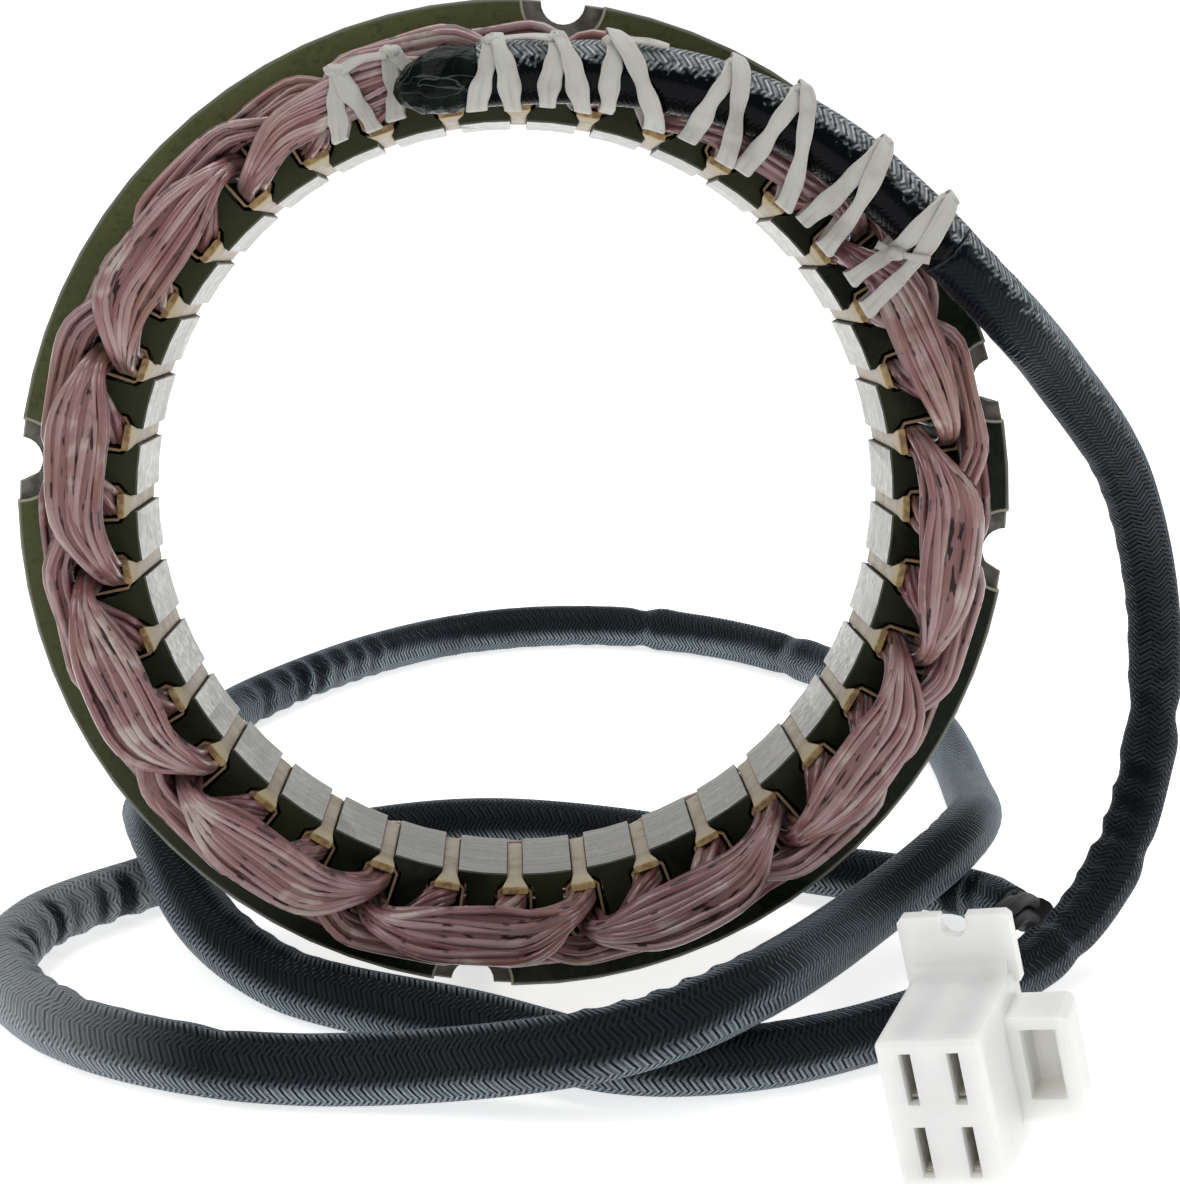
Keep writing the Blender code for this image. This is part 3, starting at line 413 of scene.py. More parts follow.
def woven(name, obj, soaked, dark, light, fluff, fade):
    """A herringbone of threads in the tube's own uv, with dry fluff along one side.

    height = sin(2 pi (w / p + v / q)) (0.55 + 0.45 sin(2 pi (u / r - v / s))), u around, v
    along and w the zigzag of u, with fourteen straight runs to the girth. dark is the cloth's
    own near-black, and light, which the thread tops take, is painted sheen and reflection.
    soaked gives the places between which the varnish ends: before them the cloth is smooth
    and shiny. fluff is the colour of the dry fibres where cos(2 pi u / girth - 0.45) is near
    1, and fade the places between which they wear away. As in the photo, painted shade makes
    the cloth darker on the upper side that faces the front, where it hangs from the ring and
    in the folds, and it is paler round the leftmost loop.
    """
    constants = {"Specular_IOR_Level": 0.08, "Sheen_Weight": 0.3, "Sheen_Roughness": 0.16}
    cloth = Finish(name, **constants, Sheen_Tint=(0.62, 0.78, 0.95, 1.0))
    u, v, _ = cloth.split(cloth.place("UV"))
    turns = 2 * math.pi / SLEEVE_GIRTH
    zigzag = cloth.sum("PINGPONG", u, SLEEVE_GIRTH / 14)
    one = cloth.sum("MULTIPLY_ADD", zigzag, 20 * turns, cloth.times(v, 2 * math.pi / 0.0009))
    two = cloth.sum("MULTIPLY_ADD", u, 12 * turns, cloth.times(v, -2 * math.pi / 0.0017))
    broken = cloth.sum("MULTIPLY_ADD", cloth.sum("SINE", two), 0.45, 0.55)
    threads = cloth.times(cloth.sum("SINE", one), broken)
    spot = cloth.place()
    fuzz = cloth.noise(spot, 2600.0, 2.0)
    fine = cloth.plus(threads, cloth.times(fuzz, 0.7))
    wet = cloth.band(v, soaked[1], soaked[0])
    patches = cloth.band(cloth.noise(spot, 30.0, 3.0), 0.4, 0.66)
    light = cloth.mix(patches, light, tuple(0.6 * c for c in light))
    # The thread tops take the light colour: painted sheen and reflection on the near-black cloth.
    colour = cloth.mix(cloth.band(fine, -0.2, 1.0), dark, light)
    # Painted shade on the upper side that faces the front, and where the cable hangs from the ring.
    normal = cloth.make("ShaderNodeNewGeometry", {}).outputs["Normal"]
    upper_front = cloth.compare("DOT_PRODUCT", normal, (0.0, -0.75, 0.66))
    shaded = cloth.band(upper_front, 0.5, 0.85, 0.0, 0.93)
    hanging_shade = cloth.band(v, leave + 0.22, leave + 0.12, 0.0, 0.85)
    colour = cloth.mix(cloth.sum("MAXIMUM", shaded, hanging_shade), colour, dark)
    from_loop = cloth.sum("ABSOLUTE", cloth.minus(v, cable_places[outermost]))
    paler = cloth.mix(cloth.band(fine, -0.6, 1.2), (0.12, 0.134, 0.142), (0.42, 0.445, 0.46))
    colour = cloth.mix(cloth.band(from_loop, 0.06, 0.015, 0.0, 0.8), colour, paler)
    colour = cloth.mix(cloth.times(wet, 0.92), colour, dark)
    fluffy_side = cloth.sum("COSINE", cloth.sum("MULTIPLY_ADD", u, turns, -0.45))
    ragged = cloth.minus(cloth.noise(spot, 900.0, 4.0), 0.4)
    dry = cloth.band(cloth.plus(fluffy_side, ragged), 0.78, 1.15)
    dry = cloth.times(dry, cloth.band(v, fade[1], fade[0]))
    hairs = cloth.mix(cloth.band(fine, -0.3, 1.2), tuple(0.15 * c for c in fluff), fluff)
    colour = cloth.mix(dry, colour, hairs)
    # Painted shade in the folds, whose depth the tint attribute holds.
    colour = cloth.mix(cloth.band(cloth.tint(), 0.25, 0.8, 0.0, 0.95), colour, dark)
    depth = cloth.band(wet, 0.0, 1.0, 0.8, 0.15)
    rough = cloth.band(wet, 0.0, 1.0, 0.45, 0.14)
    rough = cloth.sum("MAXIMUM", rough, cloth.times(dry, 0.8))
    cloth.on(obj, Base_Color=colour, Roughness=rough, Normal=cloth.bump(fine, depth, 0.00022))


soaked = (leave, leave + 0.05)
# The cable's light colour is painted sheen and reflection on its thread tops.
woven(
    "sleeve_cloth",
    cable,
    soaked,
    (0.0014, 0.0024, 0.005),
    (0.275, 0.335, 0.37),
    (0.34, 0.39, 0.41),
    (leave + 0.02, leave + 0.075),
)


# Sleeve on the ring
# The same sleeve, laced down on the end turns and soaked with varnish, so it shines.
# The four wires press through it, and dry fluff stands along its rim side.

wrap_end = place_on_line(held_points[2])
held_places = np.arange(wrap_end, leave, 0.0008)
held_line = at_places(whole_line, held_places)
squeeze = 0.96 + 0.012 * np.sin(held_places * 210.0) + 0.008 * np.sin(held_places * 480.0)
around = full_turn(40)
wires = 0.028 * np.cos(4 * around[None] + 0.7 * np.sin(held_places * 60.0)[:, None])
held_sleeve = piece(
    "laced_sleeve",
    tube(held_line, (0, 0, 1), SLEEVE_RADIUS * (squeeze[:, None] + wires), 40),
    uv=(SLEEVE_GIRTH, held_places),
)
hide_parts("sleeve_on_ring")
# Here the light colour, painted sheen on the thread tops, is kept nearly black.
woven(
    "soaked_sleeve",
    held_sleeve,
    soaked,
    (0.0008, 0.0012, 0.002),
    (0.02, 0.026, 0.034),
    (0.42, 0.45, 0.46),
    (leave + 1.0, leave + 2.0),
)


# Splice wrap
# Where the winding leads are joined to the wires, under a swelling of dark varnished cloth.
# It is wound on by hand, its turns overlap at a slant, and it tapers to nothing at the left.

# r = r0 (0.9 + 0.05 |frac(s / 6.2 mm + a / turn) - 0.5| + the sum over RIDGES of
# h (1 - |sin((n a + k s + w sin(2 a + 260 s)) / 2)|)^4), with n, k, w and h in each row.
RIDGES = ((3, 900.0, 0.9, 0.05), (4, -640.0, 1.7, 0.045), (7, 1300.0, 0.6, 0.03))
wrap_far = np.linspace(0.0, wrap_end - 0.0003, 120)
wrap_line = at_places(whole_line, wrap_far)
share = wrap_far / wrap_far[-1]
swell = 1.08 * SLEEVE_RADIUS * np.interp(
    share, [0, 0.03, 0.08, 0.22, 0.42, 0.65, 1.0], [0.2, 0.36, 0.54, 0.8, 0.96, 1.0, 0.92]
)
turn = full_turn(72)
slant = 0.05 * np.abs(((wrap_far[:, None] / 0.0062 + turn[None] / (2 * math.pi)) % 1.0) - 0.5)
for waves, pitch, sway, height in RIDGES:
    crossing = waves * turn[None] + pitch * wrap_far[:, None]
    crossing = crossing + sway * np.sin(2 * turn[None] + 260.0 * wrap_far[:, None])
    slant += height * (1.0 - np.abs(np.sin(crossing / 2))) ** 4
out_of_face = over_ring(0.0, 0.0, 1.0) - over_ring(0.0, 0.0, 0.0)
wrap_line = wrap_line + out_of_face * (swell - SLEEVE_RADIUS)[:, None]
wrap = piece(
    "splice_cloth",
    tube(wrap_line, out_of_face, swell[:, None] * (0.9 + slant), 72),
    uv=(0.037, wrap_far),
)
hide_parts("splice_wrap")
cloth = Finish("varnished_cloth", 0.25, Specular_IOR_Level=0.07)
spot = cloth.place()
creases = cloth.noise(cloth.scaled(spot, (0.5, 0.5, 1.8)), 480.0, 5.0, 1.2)
cloud = cloth.band(cloth.noise(spot, 160.0), 0.45, 0.7)
dull = cloth.mix(cloud, (0.001, 0.002, 0.0015), (0.004, 0.009, 0.006))
# Thin light streaks along the wrinkles: painted highlight.
light_streaks = cloth.noise(cloth.scaled(spot, (0.22, 1.0, 1.0)), 330.0, 2.0, 0.6)
light_streaks = cloth.sum("ABSOLUTE", cloth.minus(light_streaks, 0.5))
cloth.on(
    wrap,
    Base_Color=cloth.mix(cloth.band(light_streaks, 0.016, 0.003, 0.0, 0.55), dull, (0.085, 0.095, 0.088)),
    Normal=cloth.bump(creases, 0.4, 0.0005),
)


# Windings
# Three waves of enamelled wire, shown as six, six and fourteen strands in red-brown varnish.
# Every third slot takes one wave; at the end turns they lie over one another in lanes.

# For each wave its first slot, the lane of its end turns as (radius, half width), how far they
# stand off the face, the strands across it, their radius, and how softly the path is rounded.
WAVES = {
    "a": (1, (0.0714, 0.0019), 0.0028, 3, 0.00072, 0.0014),
    "b": (3, (0.0714, 0.0019), 0.0064, 3, 0.00072, 0.0017),
    "c": (2, (0.0669, 0.0046), 0.0106, 7, 0.0007, 0.0026),
}
SLOTS, SLOT_PITCH, FIRST_SLOT = 36, 10.0, 0.5  # their number and their angles
IN_SLOT = (0.0016, 0.0022)  # half the bundle, outwards and sideways
END_SIDE = 0.0016  # half the bundle away from the face, at the end turns

# Between the -30 and the 70 degree mark, the top wave keeps to a lane under the sleeve. An end
# turn goes through (share of its angle, of its height, of its way to the lane), there and back.
LACED_LANE = (0.0664, 0.0034)
END_TURN = ((0.0, 0.0, 0.0), (0.045, 0.88, 0.0), (0.115, 1.0, 0.3), (0.267, 1.0, 1.0))


def wave_stations(first, usual_lane, height):
    """Stations of a closed wave as rows (angle, radius, height, half out, half side).

    The wave goes once round the ring over twelve pole pitches of 30 degrees and then back,
    through the inner half of a slot one time and the outer half the other.
    """
    rows = []
    inner, outer = 0.06285, 0.06705
    for way in (1, -1):
        for k in range(12):
            rise = 1 if k % 2 == 0 else -1
            passes = (inner, outer) if (rise == 1) == (way == 1) else (outer, inner)
            here, there = passes if k < 11 else (passes[0], passes[0])
            angle = FIRST_SLOT + SLOT_PITCH * (first + SLOTS * (way == -1)) + 30.0 * k * way
            rows.append((angle, here, -rise * FACE, *IN_SLOT))
            middle = (angle + 15.0 * way + 180.0) % 360.0 - 180.0
            laced = first == 2 and rise == 1 and -30.0 < middle < 70.0
            lane, half_width = LACED_LANE if laced else usual_lane
            turns = [(share, lift, out) for share, lift, out in END_TURN]
            turns += [(1.0 - share, lift, out) for share, lift, out in reversed(END_TURN[1:])]
            for share, lift, out in turns:
                root = here if share < 0.5 else there
                rows.append(
                    (
                        angle + 30.0 * share * way,
                        root + out * (lane - root),
                        rise * (FACE + lift * height),
                        IN_SLOT[0] + out * (half_width - IN_SLOT[0]),
                        IN_SLOT[1] + lift * (END_SIDE - IN_SLOT[1]),
                    )
                )
    return np.array(rows)


def rounded(values, spacing, spread):
    """A closed run of values, blurred with a bell curve of this spread, by convolution."""
    reach = round(3 * spread / spacing)
    bell = np.exp(-0.5 * (np.arange(-reach, reach + 1) * spacing / spread) ** 2)
    bell /= bell.sum()
    padded = np.concatenate([values[-reach:], values, values[:reach]])
    return np.apply_along_axis(lambda column: np.convolve(column, bell, "valid"), 0, padded)


def wave_strands(wave, seed):
    """Rings of each strand of a wave and of the varnish between them.

    A strand runs at centre + u W + v N, with W the way outwards square to the path, N the
    way square to both, and u and v its own share of the bundle plus a slow wander.
    """
    first, lane, height, across, radius, blur = wave
    rng = np.random.default_rng(seed)
    rows = wave_stations(first, lane, height)
    path = over_ring(rows[:, 0], rows[:, 1], rows[:, 2])
    outward = over_ring(rows[:, 0], 1.0, 0.0) - over_ring(rows[:, 0], 0.0, 0.0)
    table = np.hstack([path, outward, rows[:, 3:]])
    table = np.vstack([table, table[:1]])
    far = lengths(table[:, :3])
    count = round(far[-1] / 0.0004)
    spacing = far[-1] / count
    fine = np.arange(count) * spacing
    dense = np.stack([np.interp(fine, far, table[:, k]) for k in range(8)], axis=1)
    dense = rounded(dense, spacing, blur)
    dense = np.vstack([dense, dense[:1]])
    picked = []
    for k in range(24):
        enter, exit_, after = far[8 * k], far[8 * k + 1], far[8 * k + 8]
        picked += [enter + (exit_ - enter) * x for x in (0.0, 0.5)]
        picked += list(exit_ + (after - exit_) * np.arange(27) / 27)
    places = np.array(picked)
    fine = np.append(fine, far[-1])
    flat = np.stack([np.interp(places, fine, dense[:, k]) for k in range(8)], axis=1)
    centre, out, half_out, half_side = flat[:, :3], flat[:, 3:6], flat[:, 6:7], flat[:, 7:8]
    along = unit(np.roll(centre, -1, axis=0) - np.roll(centre, 1, axis=0))
    wide = unit(out - along * np.sum(out * along, axis=1, keepdims=True))
    thin = np.cross(along, wide)
    phase = places[:, None] * 2 * math.pi / far[-1]

    def wander(waves, reach):
        """A slow closed wander: the mean of four sine waves with whole counts of cycles."""
        cycles = rng.integers(waves[0], waves[1], 4)
        starts = rng.uniform(0.0, 2 * math.pi, 4)
        return reach * np.mean(np.sin(phase * cycles + starts), axis=1, keepdims=True) * 1.6

    strands, tints, runs = [], [], []
    turn = full_turn(7)
    spread = np.clip((half_side.max() - half_side) / 0.0006, 0.0, 1.0)
    for layer in (-1, 1):
        for k in range(across):
            u = (k / (across - 1) * 2 - 1 + 0.04 * layer) * (half_out - radius)
            v = layer * (half_side - radius)
            u = u + wander((15, 60), 0.0006) * spread
            v = v + (wander((15, 80), 0.00035) - 0.0001) * spread
            middle = centre + wide * u + thin * v
            size = radius * rng.uniform(0.94, 1.06)
            ring = wide[:, None] * np.cos(turn)[:, None] + thin[:, None] * np.sin(turn)[:, None]
            strands.append(middle[:, None] + size * ring)
            runs.append((1.0, places + rng.uniform(0.0, 1.0)))
            tints.append(rng.uniform(0.0, 1.0) + wander((8, 30), 0.12)[:, 0])
    turn = full_turn(24)
    fill = np.stack([np.cos(turn), np.sin(turn)], axis=1)
    fill = signed_power(fill, 0.7)
    full = 0.75 + 0.25 * spread
    inner = wide[:, None] * ((half_out - 0.5 * radius) * full)[:, None] * fill[:, :1]
    inner = inner + thin[:, None] * ((half_side - 0.62 * radius) * full)[:, None] * fill[:, 1:]
    return strands, tints, runs, [centre[:, None] + inner], places


for letter, wave in WAVES.items():
    strands, tints, runs, filler, places = wave_strands(wave, ord(letter))
    name = f"strands_{letter}"
    winding = piece(name, strands, closed=True, uv=runs, weights=tints)
    wire = Finish(f"varnished_strands_{letter}", 0.3, Coat_Weight=0.7, Coat_Roughness=0.09)
    spot = wire.place()
    cloud = wire.noise(spot, 130.0, 3.0, 0.4)
    runs_place = wire.scaled(wire.place("UV"), (2.0, 60.0, 1.0))
    streak = wire.noise(runs_place, 1.0, 3.0, 0.4)
    tint = wire.plus(wire.tint(), wire.minus(streak, 0.5))
    colour = wire.mix(wire.band(tint, 0.05, 0.95), (0.19, 0.066, 0.07), (0.32, 0.205, 0.2))
    brown = wire.band(wire.noise(spot, 75.0, 3.0, 0.5), 0.5, 0.66, 0.0, 0.55)
    colour = wire.mix(brown, colour, (0.215, 0.105, 0.07))
    # Pale beige patches: partly a paler glaze on the varnish, partly painted highlight.
    glaze_and_highlight = wire.band(wire.plus(cloud, wire.times(streak, 0.5)), 0.8, 0.98, 0.0, 0.75)
    colour = wire.mix(glaze_and_highlight, colour, (0.42, 0.355, 0.315))
    colour = wire.mix(wire.band(cloud, 0.3, 0.42, 0.5, 0.0), colour, (0.15, 0.045, 0.045))
    colour = wire.mix(wire.band(tint, 0.95, 1.15, 0.0, 0.55), colour, (0.24, 0.06, 0.05))
    # Here and there the groove between two strands is painted near black: painted shade of a gap in
    # the varnish.
    u, v, _ = wire.split(wire.place("UV"))
    groove = wire.sum("ABSOLUTE", wire.sum("COSINE", wire.times(u, 2 * math.pi)))
    bare = wire.noise(wire.joined(wire.times(v, 150.0)), 1.0, 2.0)
    painted_gap_shade = wire.times(wire.band(groove, 0.35, 0.65), wire.band(bare, 0.55, 0.58, 0.0, 0.95))
    colour = wire.mix(painted_gap_shade, colour, (0.02, 0.006, 0.006))
    below = wire.bump(streak, 0.25, 0.0004)
    wire.on(winding, Base_Color=colour, Normal=wire.bump(cloud, 0.4, 0.0009, below))
    name = f"varnish_{letter}"
    between = piece(name, filler, closed=True, uv=(1.0, places))
    varnish = Finish(f"varnish_between_{letter}", 0.4, Specular_IOR_Level=0.3)
    runs_place = varnish.scaled(varnish.place("UV"), (40.0, 240.0, 1.0))
    # Near-black patches on the varnish between the strands: painted shade of holes between them.
    painted_hole_shade = varnish.noise(runs_place, 1.0, 2.0, 0.2)
    cloud = varnish.noise(varnish.place(), 130.0, 3.0, 0.4)
    skin = varnish.mix(cloud, (0.125, 0.04, 0.04), (0.26, 0.155, 0.145))
    colour = varnish.mix(varnish.band(painted_hole_shade, 0.38, 0.44), (0.014, 0.006, 0.006), skin)
    varnish.on(between, Base_Color=colour)
    for shown in (winding, between):
        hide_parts(f"winding_phase_{letter}")


# Slot papers
# Each slot is lined with folded cream paper and closed by a strip that is flared at both ends.
# The strip fills the mouth between two tooth tips and stands out of the face like a small foot.

SLOT_ANGLES = FIRST_SLOT + SLOT_PITCH * np.arange(SLOTS)
STRIP_END = 0.0144  # the strips and the liners end this far from mid-stack
LINER_END = 0.0122


def across_ring(degrees, across, radius, height):
    """World points at a sideways distance from the middle line of each slot.

    x' = r sin t + s cos t and y' = r cos t - s sin t in the face, then as in over_ring.
    """
    turn = np.radians(degrees)
    x = radius * np.sin(turn) + across * np.cos(turn)
    y = radius * np.cos(turn) - across * np.sin(turn)
    return over_ring(np.degrees(np.arctan2(x, y)), np.hypot(x, y), height)


# A strip is a pile of rounded oblongs, x = w |cos a|^0.3 and y = d |sin a|^0.3 with their signs.
heights = np.array([-14.4, -13.9, -13.0, -12.3, -11.7, 0.0, 11.7, 12.3, 13.0, 13.9, 14.4]) / 1000
half_widths = np.array([1.95, 1.93, 1.6, 1.35, 1.22, 1.22, 1.22, 1.35, 1.6, 1.93, 1.95]) / 1000
half_depths = np.array([0.46, 0.48, 0.42, 0.36, 0.32, 0.32, 0.32, 0.36, 0.42, 0.48, 0.46]) / 1000
round_ = full_turn(20)
corner_x = signed_power(np.cos(round_), 0.3)
corner_y = signed_power(np.sin(round_), 0.3)
rng = np.random.default_rng(5)
papers, paper_tints = [], []
for degrees in SLOT_ANGLES:
    lean_over = rng.normal(0.0, 0.00018) * np.clip(np.abs(heights) - FACE, 0, 1) / 0.0026
    across = half_widths[:, None] * corner_x * rng.uniform(0.93, 1.05) + lean_over[:, None]
    beyond = np.clip(np.abs(heights) - 0.0116, 0, 1) / 0.0028
    middle = 0.0597 + rng.uniform(0.0008, 0.0015) * beyond**1.2
    radius = middle[:, None] + half_depths[:, None] * corner_y
    papers.append(across_ring(degrees, across, radius, heights[:, None] + 0 * across))
    paper_tints.append(np.abs(heights) / STRIP_END)
papers_piece = piece("slot_strips", papers, weights=paper_tints)

outline = np.array([(1.15, 60.4), (2.72, 61.6), (2.86, 66.0), (2.92, 69.1), (2.3, 69.8)]) / 1000
outline = np.vstack([outline, outline[::-1] * (-1, 1)])
inside = outline.copy()
inside[:, 0] -= np.sign(outline[:, 0]) * 0.0004
inside[:, 1] += np.where(outline[:, 1] > 0.069, -0.0004, 0.0)
wall = ((inside, -LINER_END), (outline, -LINER_END), (outline, LINER_END), (inside, LINER_END))
liners = []
for degrees in SLOT_ANGLES:
    rings = []
    for shape, height in wall:
        rings.append(across_ring(degrees, shape[:, 0], shape[:, 1], height + 0 * shape[:, 0]))
    liners.append(np.stack(rings))
liners_piece = piece("slot_liners", liners, closed=True)
liners_piece.data.shade_flat()
for shown in (papers_piece, liners_piece):
    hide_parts(*[f"slot_paper_{k:02d}" for k in range(1, 37)])
paper = Finish("cream_paper", 0.5, Subsurface_Weight=0.1, Subsurface_Scale=0.001)
spot = paper.place()
stain = paper.noise(spot, 240.0, 4.0)
tip = paper.tint()
colour = paper.mix(paper.band(stain, 0.4, 0.68), (0.46, 0.4, 0.32), (0.35, 0.28, 0.18))
colour = paper.mix(paper.band(tip, 0.82, 0.93, 0.0, 0.55), colour, (0.48, 0.41, 0.25))
frayed = paper.band(paper.noise(spot, 900.0, 3.0), 0.4, 0.6)
cut_end = paper.mix(frayed, (0.4, 0.27, 0.1), (0.2, 0.11, 0.035))
colour = paper.mix(paper.band(tip, 0.97, 0.99, 0.0, 0.9), colour, cut_end)
paper.on(papers_piece, Base_Color=colour, Normal=paper.bump(paper.noise(spot, 1400.0), 0.3, 0.0002))
liner = Finish("liner_paper", 0.6)
stain = liner.noise(liner.place(), 300.0)
liner.on(liners_piece, Base_Color=liner.mix(stain, (0.45, 0.33, 0.18), (0.25, 0.15, 0.07)))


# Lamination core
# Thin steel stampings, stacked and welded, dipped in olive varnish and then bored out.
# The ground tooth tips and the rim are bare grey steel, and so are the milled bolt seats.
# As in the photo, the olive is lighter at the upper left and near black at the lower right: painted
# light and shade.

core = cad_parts["lamination_core"]
core.modifiers.new("join", "WELD").merge_threshold = 0.00001
edges = core.modifiers.new("rounded_edges", "BEVEL")
edges.width = 0.00016
edges.segments = 2
edges.limit_method = "ANGLE"
edges.angle_limit = math.radians(30)
edges.harden_normals = True
steel = Finish("varnished_laminations", 0.35, Specular_IOR_Level=0.13)
spot = steel.ring_place()
x, y, z = steel.split(spot)
radius = steel.sum("SQRT", steel.plus(steel.times(x, x), steel.times(y, y)))
depth = steel.sum("ABSOLUTE", z)
on_face = steel.band(depth, 0.01165, 0.01178)
bored = steel.times(steel.band(radius, 0.05905, 0.05885), steel.band(depth, 0.01185, 0.01165))
rim = steel.times(steel.band(radius, 0.0766, 0.0768), steel.band(depth, 0.0119, 0.0117))
cloud = steel.noise(spot, 60.0, 5.0, 0.3)
grain = steel.noise(spot, 900.0, 4.0)
sheets = steel.noise(steel.scaled(spot, (30.0, 30.0, 2600.0)), 1.0, 2.0)
# Painted light and shade across the face: lighter towards the upper left, near black towards the
# lower right.
corner = steel.minus(y, x)
painted_light = steel.band(steel.plus(corner, steel.times(cloud, 0.05)), -0.02, 0.14)
shade = steel.band(corner, -0.03, 0.03)
olive = steel.mix(shade, (0.0025, 0.005, 0.0025), (0.013, 0.017, 0.007))
olive = steel.mix(painted_light, olive, (0.09, 0.101, 0.038))
speckle = steel.band(steel.noise(spot, 900.0, 6.0, 0.4), 0.5, 0.7, 0.0, 0.4)
olive = steel.mix(speckle, olive, (0.02, 0.024, 0.01))
olive = steel.mix(steel.band(cloud, 0.35, 0.75, 0.0, 0.3), olive, (0.026, 0.03, 0.013))
teeth = steel.mix(steel.band(cloud, 0.4, 0.65), (0.006, 0.008, 0.004), (0.02, 0.024, 0.01))
# The teeth get the same painted light towards the upper left.
teeth = steel.mix(painted_light, teeth, (0.04, 0.046, 0.022))
olive = steel.mix(steel.band(radius, 0.0705, 0.069), olive, teeth)
# A thin light grey line round the outer edge of the face: painted highlight.
painted_rim_highlight = steel.times(steel.band(radius, 0.0763, 0.0767), on_face)
olive = steel.mix(steel.times(painted_rim_highlight, 0.7), olive, (0.2, 0.21, 0.18))
flat = steel.joined(x, y)
seat = 1.0  # becomes the distance to the nearest of the five notches
for tooth in (0, 7, 9, 18, 27):
    turn = math.radians(FIRST_SLOT + SLOT_PITCH * (tooth + 0.5))
    notch = (RIM_RADIUS * math.sin(turn), RIM_RADIUS * math.cos(turn), 0.0)
    seat = steel.sum("MINIMUM", steel.compare("DISTANCE", flat, notch), seat)
milled = steel.times(steel.band(seat, 0.00635, 0.0062), steel.band(z, 0.0095, 0.01))
dirt = steel.band(steel.noise(spot, 420.0, 4.0), 0.4, 0.65)
grey = steel.mix(dirt, (0.085, 0.08, 0.065), (0.17, 0.165, 0.145))
olive = steel.mix(milled, olive, grey)
brim = steel.times(steel.band(seat, 0.0061, 0.0063), steel.band(seat, 0.0067, 0.0065))
brim = steel.times(brim, steel.band(z, 0.0115, 0.0117, 0.0, 0.8))
olive = steel.mix(brim, olive, (0.4, 0.38, 0.3))
ground = steel.mix(steel.band(sheets, 0.35, 0.65), (0.33, 0.325, 0.305), (0.47, 0.465, 0.445))
# A light line along the front edge of the ground tips: painted highlight.
ground = steel.mix(steel.band(depth, 0.0113, 0.0116, 0.0, 0.7), ground, (0.62, 0.62, 0.57))
edge = steel.mix(steel.band(sheets, 0.4, 0.6), (0.2, 0.2, 0.17), (0.38, 0.38, 0.34))
colour = steel.mix(bored, olive, ground)
colour = steel.mix(rim, colour, edge)
bare = steel.sum("MAXIMUM", bored, steel.times(rim, 0.8))
uneven = steel.plus(grain, steel.times(cloud, 0.6))
below = steel.bump(steel.noise(spot, 330.0, 3.0, 0.5), 0.22, 0.0006)
steel.on(
    core,
    Base_Color=colour,
    Metallic=steel.times(bare, 0.55),
    Roughness=steel.band(uneven, 0.5, 1.1, 0.25, 0.5),
    Normal=steel.bump(sheets, 0.12, 0.0002, below),
)


# Lacing ties
# Flat off-white cotton tape, drawn round the top wave and the sleeve in pairs of slanting turns.
# Each turn starts at the same place at the rim; the last one ends in a knot with two tails.

# For each tie the angle at the rim, the two angles at the bore, and whether it holds the sleeve.
TIES = (
    (-22.0, (-25.0, -20.0), False),
    (-15.0, (-16.6, -9.5), False),
    (-2.2, (-5.3, -0.2), True),
    (5.1, (4.4, 9.4), True),
    (11.5, (12.6, 19.7), True),
    (25.8, (24.6, 30.7), True),
    (33.6, (33.3, 41.2), True),
    (44.3, (44.7, 49.6), True),
    (53.5, (55.2, 60.0), True),
)
TAPE_WIDTH = 0.0027
TAPE_THICKNESS = 0.0004
held_angles, held_radii = np.array(HELD_ROUTE).T


def taut_loop(rectangle, ring_middle, ring_radius, slack):
    """The shape of a tape drawn round a rectangle and a circle, as points (radius, height).

    It is the outline of their convex hull: for each direction n it takes the furthest of the
    corners + slack n and the circle's middle + (its radius + slack) n, evenly respaced.
    """
    angle = full_turn(240)
    way = np.stack([np.cos(angle), np.sin(angle)], axis=1)
    (r0, h0), (r1, h1) = rectangle
    corners = np.array([(r0, h0), (r1, h0), (r1, h1), (r0, h1)])
    points = corners[None] + slack * way[:, None]
    if ring_middle is not None:
        circle = np.asarray(ring_middle) + (ring_radius + slack) * way
        points = np.concatenate([points, circle[:, None]], axis=1)
    best = np.argmax(np.sum(points * way[:, None], axis=2), axis=1)
    outline = points[np.arange(len(angle)), best]
    outline = np.vstack([outline, outline[:1]])
    far = lengths(outline)
    places = np.linspace(0.0, far[-1], 72, endpoint=False)
    return np.stack([np.interp(places, far, outline[:, k]) for k in range(2)], axis=1)


def ribbon(line, along, normal, widths):
    """Rings of a flat tape along a closed or open line, twelve points round its section.

    With w the width and t the thickness, a section is x = w / 2 |cos a|^0.5 and
    y = t / 2 |sin a|^0.6 with their signs.
    """
    turn = full_turn(12)
    flat = signed_power(np.cos(turn), 0.5)
    thick = signed_power(np.sin(turn), 0.6)
    side = unit(np.cross(along, normal))
    across = side[:, None] * flat[::-1, None] * widths[:, None, None] / 2
    return line[:, None] + across + normal[:, None] * thick[::-1, None] * TAPE_THICKNESS / 2


def bunch(centre, rng, size):
    """A small knot: a flattened ball with lumps, at angles a round it and b from its pole.

    reach = size (1 + 0.16 sin(3 a + p) sin(2 b + q) + 0.1 sin(5 a + 4 b)), p and q drawn.
    """
    a = full_turn(12)[None]
    b = np.linspace(math.pi - 0.06, 0.06, 72)[:, None]
    p, q = rng.uniform(0.0, 6.0, 2)
    reach = size * (
        1.0 + 0.16 * np.sin(3 * a + p) * np.sin(2 * b + q) + 0.1 * np.sin(5 * a + 4 * b)
    )
    ball = np.stack([np.sin(b) * np.cos(a), np.sin(b) * np.sin(a), np.cos(b) + 0 * a], axis=-1)
    squeeze = np.array([1.4, 0.8, 0.8])
    return [centre + ball * reach[..., None] * squeeze]


